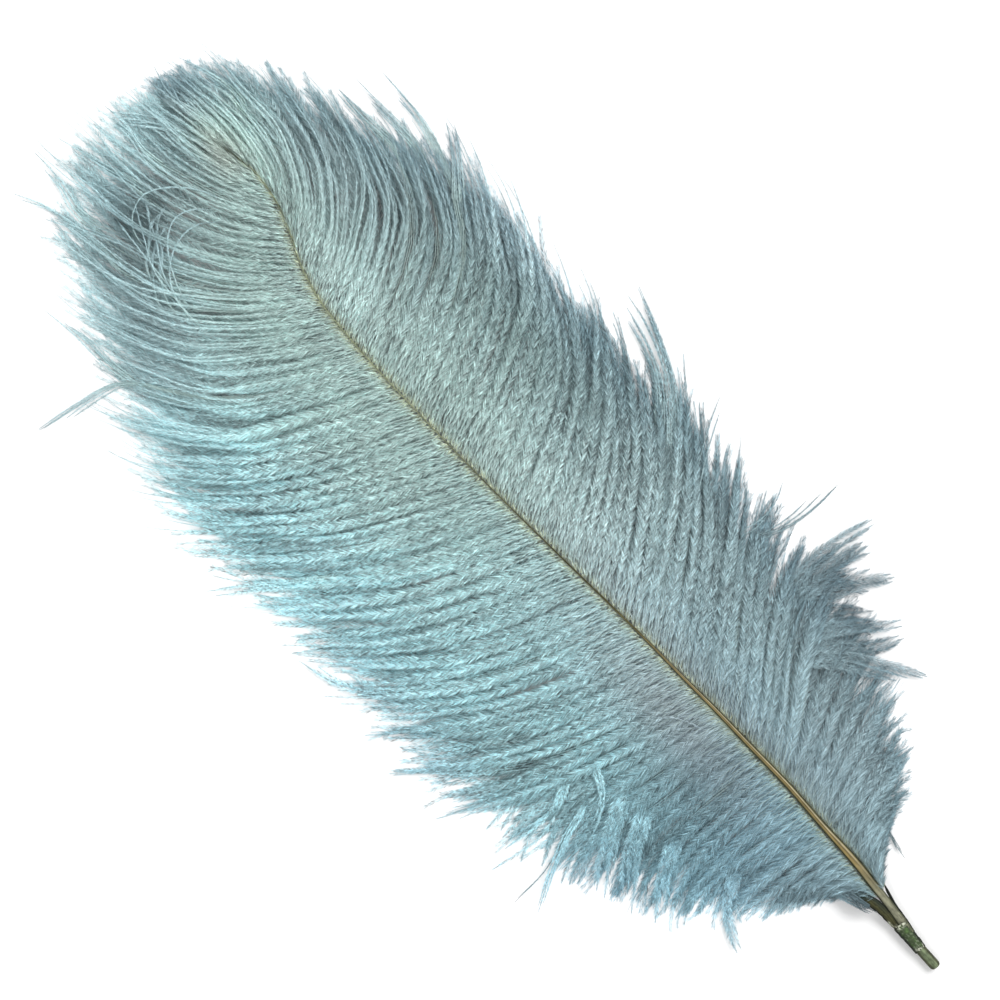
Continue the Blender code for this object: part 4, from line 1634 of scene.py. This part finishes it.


# Middle, half size and depth of each hollow, where the top barbs sink and every layer's barbs are painted
# darker, as shade.
LEFT_HOLLOWS = (
    (293, 16, 9, 13, 0.8), (77, 35, 2, 7, 0.9), (115.4, 46, 1.2, 2.4, 0.9),
    (117.6, 50, 1.2, 2.6, 0.85), (85, 35, 1.6, 4, 0.7), (28.5, 2.5, 4, 2, 0.8),
)
RIGHT_HOLLOWS = (
    (46.5, -6.7, 0.9, 2.2, 0.9), (92, -50, 7, 5, 0.7),
)
LEFT_TUFTS = (
    Tuft(((85, 28), (79.5, 38), (73.5, 46), (67, 53)), 2.4, 9, 1.9, 1.7, 0.5, 0.22),
    Tuft(((92, 29), (87, 39), (81, 48), (74.5, 56)), 2.2, 8, 1.9, 1.7, 0.5, 0.22),
    Tuft(((73, 28), (68, 38), (64, 44), (60, 49.5)), 2, 7, 1.7, 1.7, 0.5, 0.22),
    Tuft(((97.5, 40), (94, 50), (91.2, 60), (90.6, 71.5)), 0, 1, 1.3, 0.7, 0.2, -0.75, 12),
    Tuft(((97, 42), (93.6, 51), (91, 61), (90.9, 70)), 0, 1, 1.3, 0.7, 0.2, -0.75, 12),
    Tuft(((97, 38), (93.5, 51), (89.5, 60), (84.5, 69)), 0.9, 7, 2.2, 1.2, 0.3, 0.3, 16),
    Tuft(((106, 38), (102, 44), (99.5, 52), (101.5, 68.5)), 1.4, 6, 1.4, 1.5, 0.3, 0.2, 24),
    Tuft(((104, 30), (97.5, 33), (92.5, 37), (89.5, 43)), 1, 4, 1.6, 1.3, 0.4, 0.25, 22),
    # Wide, low tufts that fill the vane below the loose locks, painted darker, as shade.
    Tuft(((90, 31), (90.5, 42), (89, 50), (86, 58)), 3, 10, 0.2, 1.9, 0.8, -0.1),
    Tuft(((97, 33), (99, 45), (98, 54), (95, 60)), 3.2, 10, 0.2, 1.9, 0.8, -0.1),
    Tuft(((104, 38), (106, 48), (107, 56), (106.5, 63)), 3, 9, 0.2, 1.9, 0.8, -0.1),
    Tuft(((60, 20), (60, 30), (58, 38), (55, 44)), 3, 9, 0.2, 1.9, 0.8, -0.1),
    Tuft(((77, 21), (77, 30), (75.5, 38), (72, 45)), 3.2, 9, -0.2, 1.9, 0.8, -0.45),
    Tuft(((68, 21), (67, 30), (65, 37), (61.5, 43)), 3.2, 9, -0.2, 1.9, 0.8, -0.3),
    # Fluff at the left vane's base beside the quill, painted dark, as shade.
    Tuft(((34, 6.4), (30, 5), (26, 3.5), (22.6, 2.2)), 1.1, 9, 0.5, 1, 0.35, -0.35, 18),
    Tuft(((31.5, 3.9), (28, 3), (25, 2.2), (21.6, 1.4)), 0.7, 8, 0.9, 0.9, 0.35, -0.75, 16),
    Tuft(((56, 22), (50.5, 30), (45, 34), (40, 36)), 1.6, 6, 0.8, 1.8, 0.7, 0.1),
    Tuft(((120, 50), (128, 59), (135, 66), (141.5, 73)), 1.6, 6, 0.3, 1.4, 0.3, 0.2),
    Tuft(((148, 49), (157, 60.5), (167.5, 67.6), (178, 70.4)), 1.4, 6, 0.4, 1.2, 0.3, 0.2),
    Tuft(((188, 48), (196, 58.5), (202.7, 66.8), (208.5, 74.5)), 1.5, 6, 0.4, 1.1, 0.3, 0.2),
    Tuft(((262, 49), (267.5, 55), (270.2, 65), (272.2, 77)), 0.5, 5, 0.3, 0.9, 0.3, -0.2, 16),
    Tuft(((288, 32), (303, 33), (315, 35.5), (323.5, 40)), 1.1, 5, 0.3, 0.9, 0.3, 0, 20),
    Tuft(((304, 30), (313, 30.5), (321, 28.5), (329, 28.2)), 1.2, 4, 0.3, 0.9, 0.3, 0, 20),
    Tuft(((263, 50.5), (275, 52.6), (285.6, 52.9), (295, 54.6)), 1.1, 4, 0.4, 0.9, 0.3, 0, 20),
    Tuft(((299, 13), (308, 15), (317, 18), (326, 20.5)), 1.3, 5, 0.3, 0.9, 0.25, 0, 20),
    Tuft(((302, 5.5), (311, 6.5), (320, 5), (329, 6)), 1.3, 5, 0.3, 0.9, 0.25, 0.05, 20),
    Tuft(((300, -4), (309, -3.5), (316, 0.5), (321.5, 5.5)), 1.3, 5, 0.4, 1, 0.3, 0.1, 20),
)
RIGHT_TUFTS = (
    Tuft(((85, -31), (77, -39.5), (68, -45), (59.5, -50)), 2.2, 8, 0.9, 1.9, 0.5, 0.1),
    Tuft(((87, -34), (78, -43), (72, -50), (69, -56)), 2.2, 8, 0.7, 1.9, 0.4, -0.15),
    Tuft(((90, -36), (84, -45), (79, -51.5), (75, -57.5)), 2.2, 8, 0.9, 1.9, 0.45, 0.1),
    Tuft(((92, -36), (89, -43), (85, -49), (81, -53.5)), 3, 9, 0.3, 1.9, 0.6, -0.4),
    Tuft(((95, -42), (93, -50), (90, -57), (85.5, -63.5)), 2.3, 8, 0.7, 1.9, 0.45, -0.1),
    Tuft(((98, -40), (97, -50), (94.5, -58), (92, -65)), 2.3, 8, 0.7, 1.9, 0.5),
    Tuft(((99, -41), (99, -49), (97.5, -57), (96, -64.5)), 2.3, 8, 0.5, 1.9, 0.5, -0.15),
    Tuft(((102, -40), (103, -52), (101.5, -62), (100, -69)), 2, 8, 0.7, 1.7, 0.3),
    Tuft(((119, -42), (114.5, -53), (113, -63), (113.2, -73)), 0.8, 4, 0.6, 0.8, 0.5, -0.35, 18),
    Tuft(((122, -41), (119.8, -51), (121, -59), (124.2, -65.2)), 0.7, 2, 0.4, 0.8, 0.5, 0, 18),
    Tuft(((139, -41), (145.5, -50.5), (149.5, -57.5), (152, -62.5)), 0.7, 2, 0.4, 0.8, 0.5, 0, 18),
    Tuft(((150, -43), (163, -55), (176, -62), (188, -66.5)), 1.9, 8, 0.3, 1.2, 0.4, 0.1, 22),
    Tuft(((158, -46), (170, -56), (180, -60.5), (191, -63)), 1.6, 6, 0.3, 1.2, 0.4, 0.1, 22),
    Tuft(((40, -16.5), (35, -15.6), (31, -14.9), (25.5, -13.8)), 0.5, 4, 0.3, 0.7, 0.15, -0.7, 14),
    Tuft(((240, -47), (247, -53), (252, -57), (257, -60)), 1.6, 6, 0.3, 1, 0.4, 0, 20),
    Tuft(((264, -45), (272, -44.2), (281, -43.6), (290, -43.8)), 1.2, 5, 0.3, 0.9, 0.3, 0, 18),
    Tuft(((258, -49), (268, -49.5), (278, -49.2), (287.5, -49)), 1.2, 5, 0.3, 0.9, 0.3, 0, 18),
    Tuft(((256, -53), (264, -55.2), (273, -56.4), (282, -56.5)), 1.2, 5, 0.3, 0.9, 0.3, 0, 18),
    Tuft(((300, -12.5), (308, -11), (316, -9.5), (323.5, -11.5)), 1.3, 5, 0.3, 1, 0.3, 0, 20),
    Tuft(((298, -22), (306, -22.5), (313, -21), (320.5, -18.5)), 1.3, 5, 0.3, 1, 0.3, 0.05, 20),
)
LOOPS = tuple(Tuft(way, 0, 1, 0.9, 1.1, 1, -0.12, 14) for way in (
    ((262, 27), (272, 27), (277, 25), (282, 20), (284.5, 12), (283, 7), (280, 4)),
    ((268, 26.5), (280, 22), (287, 17), (289.5, 12), (288, 7), (285, 4)),
    ((270, 27), (283, 26), (291, 22), (300, 17)),
    ((266, 27.5), (280, 25), (290, 19), (295, 17)),
    ((275, 26), (290, 25), (301, 24)),
    ((288, 24), (296, 22), (300, 14), (297, 8), (290, 2), (285, 0)),
    ((90, 2), (95, 4), (99, 6.5), (102, 10)),
))
CROSSING = tuple(
    Tuft(((272 + 4.1 * k, 31 - 2.2 * k), (280 + 3.6 * k, 28 - 2.9 * k + math.sin(2.1 * k)),
          (287 + 3.1 * k, 22.5 - 3.1 * k + 1.6 * math.sin(3.7 * k)),
          (293 + 2.2 * k + 3 * math.sin(1.7 * k), 15 - 2.6 * k + 2 * math.sin(2.6 * k))),
         1.5, 2, -0.1, 1.6, 0.2 + 0.3 * math.sin(1.9 * k) ** 2, -0.3, 17)
    for k in range(4)
)


@dataclass(frozen=True)
class Shaft:
    """Quill and shaft in one: round where it was cut, grooved between the vanes."""

    run: ShaftLine = ShaftLine()
    pace: float = 1.6
    groove_start: float = 19.0
    groove_full: float = 30.0
    round_half: tuple = ((0.0, 0.5), (0.13, 0.483), (0.25, 0.433), (0.354, 0.354), (0.433, 0.25),
                         (0.483, 0.13), (0.5, 0.0), (0.433, -0.25), (0.25, -0.433))
    grooved_half: tuple = ((0.0, 0.30), (0.07, 0.32), (0.14, 0.43), (0.25, 0.50), (0.37, 0.46), (0.45, 0.34),
                           (0.50, 0.10), (0.46, -0.22), (0.28, -0.45))
    underside: tuple = (0.0, -0.5)
    blunt_end: tuple = ((-0.8, 0.42), (-0.72, 0.62), (-0.55, 0.80), (-0.3, 0.92), (0.0, 0.98))

    def build(self) -> bpy.types.Object:
        """Loft the section along the run."""
        blunt = [place for place, _ in self.blunt_end]
        places = np.concatenate([blunt, np.arange(0.4, SHAFT_END, self.pace), [SHAFT_END]])
        line = self.run.centre(places)
        across = beside(line)
        widths = self.run.width.at(places)
        widths[:len(self.blunt_end)] *= [share for _, share in self.blunt_end]
        mix = eased(self.groove_start, self.groove_full, places)
        rings, lanes = [], []
        for k in range(len(places)):
            half = blended(np.array(self.round_half), np.array(self.grooved_half), mix[k])
            outline = np.vstack([half, [self.underside], half[1:][::-1] * (-1.0, 1.0)])
            rings.append(line[k] + widths[k] * (outline[:, :1] * across[k] + outline[:, 1:] * UP))
            lanes.append(np.where(outline[:, 1] > -0.15, outline[:, 0] * 2.0, np.sign(outline[:, 0] + 1e-9)))
        return lofted("shaft", rings, np.concatenate(lanes))

    def dress(self, piece: bpy.types.Object) -> None:
        """Give it its horn."""
        piece.data.materials.append(HornFinish().make())
        adopt(piece)


@dataclass(frozen=True)
class QuillSkin:
    """Ragged skin left round the quill, the strip peeled off it, its dark blade and its pale membrane."""

    run: ShaftLine = ShaftLine()
    start: float = 5.9
    end: float = 14.3
    sides: int = 28
    rows: int = 11
    thickness: float = 0.22
    middle: Profile = Profile(((5.0, -0.25), (9.0, -0.42), (12.6, -0.5), (16.0, -0.4)))
    body_width: Profile = Profile(((5.0, 3.3), (9.0, 3.7), (12.6, 3.8), (16.0, 3.5)))
    seed: int = 31
    strip: tuple = ((13.4, 0.45, 2.3), (16.3, 0.25, 2.9), (20.0, 0.1, 3.6), (22.7, 0.25, 4.4),
                    (25.5, 0.9, 5.2), (27.6, 1.5, 5.3), (31.0, 3.1, 4.4))
    strip_width: tuple = (1.2, 2.3, 2.7, 3.0, 2.9, 2.3, 0.5)
    blade: tuple = ((10.5, -2.3, 2.2), (12.8, -2.7, 2.3), (16.0, -3.15, 2.5), (19.4, -3.55, 2.7),
                    (23.0, -4.3, 2.9), (26.3, -5.3, 3.2))
    blade_width: tuple = (0.4, 0.5, 0.5, 0.6, 0.9, 0.1)
    membrane: tuple = ((17.2, 1.3, 2.6), (15.4, 0.7, 3.2), (14.5, -0.3, 3.9), (14.3, -1.4, 4.0),
                       (13.9, -2.4, 3.6))
    membrane_width: tuple = (0.25, 0.8, 0.7, 1.0, 0.5)
    ribbon_steps: int = 18
    ribbon_outline: tuple = ((-0.5, 0.35), (-0.3, 0.6), (0.0, 0.75), (0.3, 0.6), (0.5, 0.35), (0.3, -0.1),
                             (0.0, 0.0), (-0.3, -0.1))
    ribbon_thickness: float = 0.22

    def build(self) -> bpy.types.Object:
        """Make the sleeve, the strip, the blade and the membrane as one piece."""
        rng = np.random.default_rng(self.seed)
        ribbons = (("strip", self.strip, self.strip_width), ("blade", self.blade, self.blade_width),
                   ("membrane", self.membrane, self.membrane_width))
        parts = [self._sleeve(rng), *(self._ribbon(*ribbon, rng) for ribbon in ribbons)]
        return joined("quill_skin", parts)

    def _sleeve(self, rng: np.random.Generator) -> bpy.types.Object:
        """Make the torn sleeve: out along its outside and back along its inside.

        Args:
            rng: The random numbers.

        Returns:
            The object.
        """
        turns = 2.0 * math.pi * np.arange(self.sides) / self.sides
        tear = [ragged(turns, rng, 0.6), ragged(turns, rng, 0.9)]
        rings = []
        for row in range(2 * self.rows):
            outside = row < self.rows
            share = row / (self.rows - 1) if outside else (2 * self.rows - 1 - row) / (self.rows - 1)
            x = (self.start + tear[0]) * (1.0 - share) + (self.end + tear[1]) * share
            centre = np.stack([x, self.middle.at(x), self.run.rise.at(x)], axis=1)
            half = 0.5 * self.body_width.at(x) - (0.0 if outside else self.thickness)
            half = half + 0.08 * rng.standard_normal(self.sides) * float(outside)
            round_it = np.stack([np.zeros_like(x), half * np.cos(turns), half * np.sin(turns)], axis=1)
            rings.append(centre + round_it)
        rings.append(rings[0])
        lanes = np.tile(np.cos(turns), len(rings))
        return lofted("sleeve", rings, lanes, capped=False)

    def _ribbon(self, name: str, way: tuple, widths: tuple, rng: np.random.Generator) -> bpy.types.Object:
        """Make a thin leaf along a way.

        Args:
            name: Its name.
            way: Points it passes.
            widths: Its width at each.
            rng: The random numbers.

        Returns:
            The object.
        """
        line = through(np.array(way), self.ribbon_steps)
        knots = np.linspace(0.0, 1.0, len(widths))
        width = np.interp(np.linspace(0.0, 1.0, self.ribbon_steps), knots, widths)
        width = width * rng.uniform(0.9, 1.1, self.ribbon_steps)
        across = beside(line)
        outline = np.array(self.ribbon_outline)
        thick = self.ribbon_thickness * outline[:, 1:] * UP
        rings = [line[k] + width[k] * outline[:, :1] * across[k] + thick for k in range(len(line))]
        return lofted(name, rings, np.tile(2.0 * outline[:, 0], len(line)))

    def dress(self, piece: bpy.types.Object) -> None:
        """Give it its dark, mottled skin."""
        piece.data.materials.append(SkinFinish().make())
        adopt(piece)


def ragged(turns: np.ndarray, rng: np.random.Generator, size: float) -> np.ndarray:
    """Draw a torn edge round a ring, in millimetres."""
    waves = sum(np.sin(k * turns + rng.uniform(0.0, 6.28)) / k**0.5 for k in (2, 3, 5, 7, 11))
    return 0.4 * size * waves


def joined(name: str, parts: list[bpy.types.Object]) -> bpy.types.Object:
    """Make one piece of several, each with its own part of the map.

    Args:
        name: The piece's name.
        parts: Objects with the same attributes.

    Returns:
        The object that is left.
    """
    for k, part in enumerate(parts):
        layer = part.data.uv_layers["OFBake"]
        spots = np.empty(2 * len(layer.data))
        layer.data.foreach_get("uv", spots)
        spots = spots.reshape(-1, 2)
        spots[:, 1] = (k + 0.02 + 0.96 * spots[:, 1]) / len(parts)
        layer.data.foreach_set("uv", spots.ravel())
    shell = bmesh.new()
    for part in parts:
        shell.from_mesh(part.data)
    mesh = bpy.data.meshes.new(name)
    shell.to_mesh(mesh)
    shell.free()
    for part in parts:
        bpy.data.objects.remove(part, do_unlink=True)
    return linked(name, mesh)


def lofted(name: str, rings: list[np.ndarray], lanes: np.ndarray, capped: bool = True) -> bpy.types.Object:
    """Join rings into a closed, smooth body with a map that runs along and around.

    Args:
        name: The piece's name.
        rings: Rings of equal counts, in order.
        lanes: A number for each point, kept as the attribute lane.
        capped: Whether the first and last rings are closed off.

    Returns:
        The object.
    """
    sides = len(rings[0])
    faces, places = [], []
    for ring in range(len(rings) - 1):
        for k in range(sides):
            after = (k + 1) % sides
            start = ring * sides
            faces.append((start + k, start + after, start + sides + after, start + sides + k))
            low, high = ring / len(rings), (ring + 1) / len(rings)
            left, right = k / sides, (k + 1) / sides
            places.append(((low, left), (low, right), (high, right), (high, left)))
    for ring in (0, len(rings) - 1) if capped else ():
        faces.append(tuple(ring * sides + k for k in range(sides)))
        turns = 2.0 * math.pi * np.arange(sides) / sides
        spot = np.stack([0.985 + 0.01 * np.cos(turns), 0.3 + 0.4 * (ring > 0) + 0.05 * np.sin(turns)], axis=1)
        places.append(tuple(map(tuple, spot)))
    made = new_object(name, np.vstack(rings), [], faces)
    layer = made.data.uv_layers.new(name="OFBake")
    layer.data.foreach_set("uv", np.array([c for face in places for c in face], float).ravel())
    keep(made.data, "lane", lanes)
    made.data.shade_smooth()
    shell = bmesh.new()
    shell.from_mesh(made.data)
    bmesh.ops.remove_doubles(shell, verts=shell.verts, dist=1e-7)
    bmesh.ops.recalc_face_normals(shell, faces=shell.faces)
    shell.to_mesh(made.data)
    shell.free()
    return made


@dataclass(frozen=True)
class Studio:
    """Floor, light and camera, as the photograph has them."""

    # What the camera looks at, which way is right in the picture and how much the picture takes in.
    view: tuple = (173.2, -0.1)
    image_right: tuple = (-0.6827, -0.7307)
    picture_width: float = 272.3
    sensor: float = 36.0
    # In metres, as the lights' places are.
    camera_height: float = 1.4
    floor_half: float = 3.0
    air: float = 0.62

    def build(self) -> None:
        """Set the studio up."""
        floor = self._floor()
        floor.data.materials.append(FloorFinish().make())
        self._light("key", (0.05, -1.1, 1.15), 1.1, 24.0)
        self._light("fill", (-0.2, 0.8, 1.1), 0.8, 5.0)
        self._world()
        self._camera()
        bpy.context.scene.view_settings.view_transform = "Standard"
        bpy.context.scene.view_settings.look = "None"

    def _floor(self) -> bpy.types.Object:
        """Make the floor."""
        half = self.floor_half
        mesh = bpy.data.meshes.new("studio_floor")
        corners = [(-half, -half, 0.0), (half, -half, 0.0), (half, half, 0.0), (-half, half, 0.0)]
        mesh.from_pydata(corners, [], [(0, 1, 2, 3)])
        return linked("studio_floor", mesh)

    def _light(self, name: str, place: tuple, size: float, power: float) -> None:
        """Add a soft square light that looks at the plume.

        Args:
            name: Its name.
            place: Where it stands, in metres.
            size: Its side, in metres.
            power: Its power, in watts.
        """
        data = bpy.data.lights.new(name, "AREA")
        data.shape = "SQUARE"
        data.size = size
        data.energy = power
        made = linked(name, data)
        made.location = place
        made.rotation_euler = (-Vector(place)).to_track_quat("-Z", "Y").to_euler()

    def _world(self) -> None:
        """Add even light from all round."""
        world = bpy.data.worlds.new("studio_air")
        world.use_nodes = True
        air = world.node_tree.nodes["Background"]
        air.inputs["Color"].default_value = (*WHITE, 1.0)
        air.inputs["Strength"].default_value = self.air
        bpy.context.scene.world = world

    def _camera(self) -> None:
        """Look straight down, turned as the photograph is."""
        data = bpy.data.cameras.new("camera")
        data.sensor_width = self.sensor
        height = self.camera_height
        data.lens = self.sensor * height / (self.picture_width * MM)
        made = linked("camera", data)
        right = Vector((*self.image_right, 0.0)).normalized()
        back = Vector(UP)
        up = back.cross(right)
        turn = Matrix((right, up, back)).transposed()
        spot = to_frame(np.array([[*self.view, 0.0]]))[0]
        made.matrix_world = Matrix.Translation((spot[0], spot[1], height)) @ turn.to_4x4()
        bpy.context.scene.camera = made


def main() -> None:
    """Build the plume's looks in order and say what was made."""
    logging.basicConfig(level=logging.INFO, format="%(name)s %(message)s")
    Studio().build()
    for part in (Shaft(), QuillSkin()):
        piece = part.build()
        part.dress(piece)
        log.info("%s: %d faces", piece.name, len(piece.data.polygons))
    tree = BarbTree()
    tree.build()
    barbule = BarbuleShape().make()
    finish = BarbFinish().make()
    left = Vane(LEFT_FIELD, 21, first=24.2, hollows=LEFT_HOLLOWS)
    right = Vane(RIGHT_FIELD, 43, first=24.5, hollows=RIGHT_HOLLOWS)
    for name, vane in (("left_barbs", left), ("right_barbs", right)):
        bundles = [BarbBundle(vane.steps) for _ in vane.cuts[1:]]
        vane.lay(bundles)
        for part, bundle in zip(("first", "second", "third", "last"), bundles):
            tree.grow(bundle.guide(f"{name}_{part}"), barbule, finish)
    loose = LooseBarbs(LEFT_TUFTS + RIGHT_TUFTS + CROSSING + LOOPS)
    bundle = BarbBundle(loose.steps)
    loose.lay(bundle)
    tree.grow(bundle.guide("loose_barbs"), barbule, finish)
    bpy.data.objects.remove(barbule, do_unlink=True)


if __name__ == "__main__":
    main()
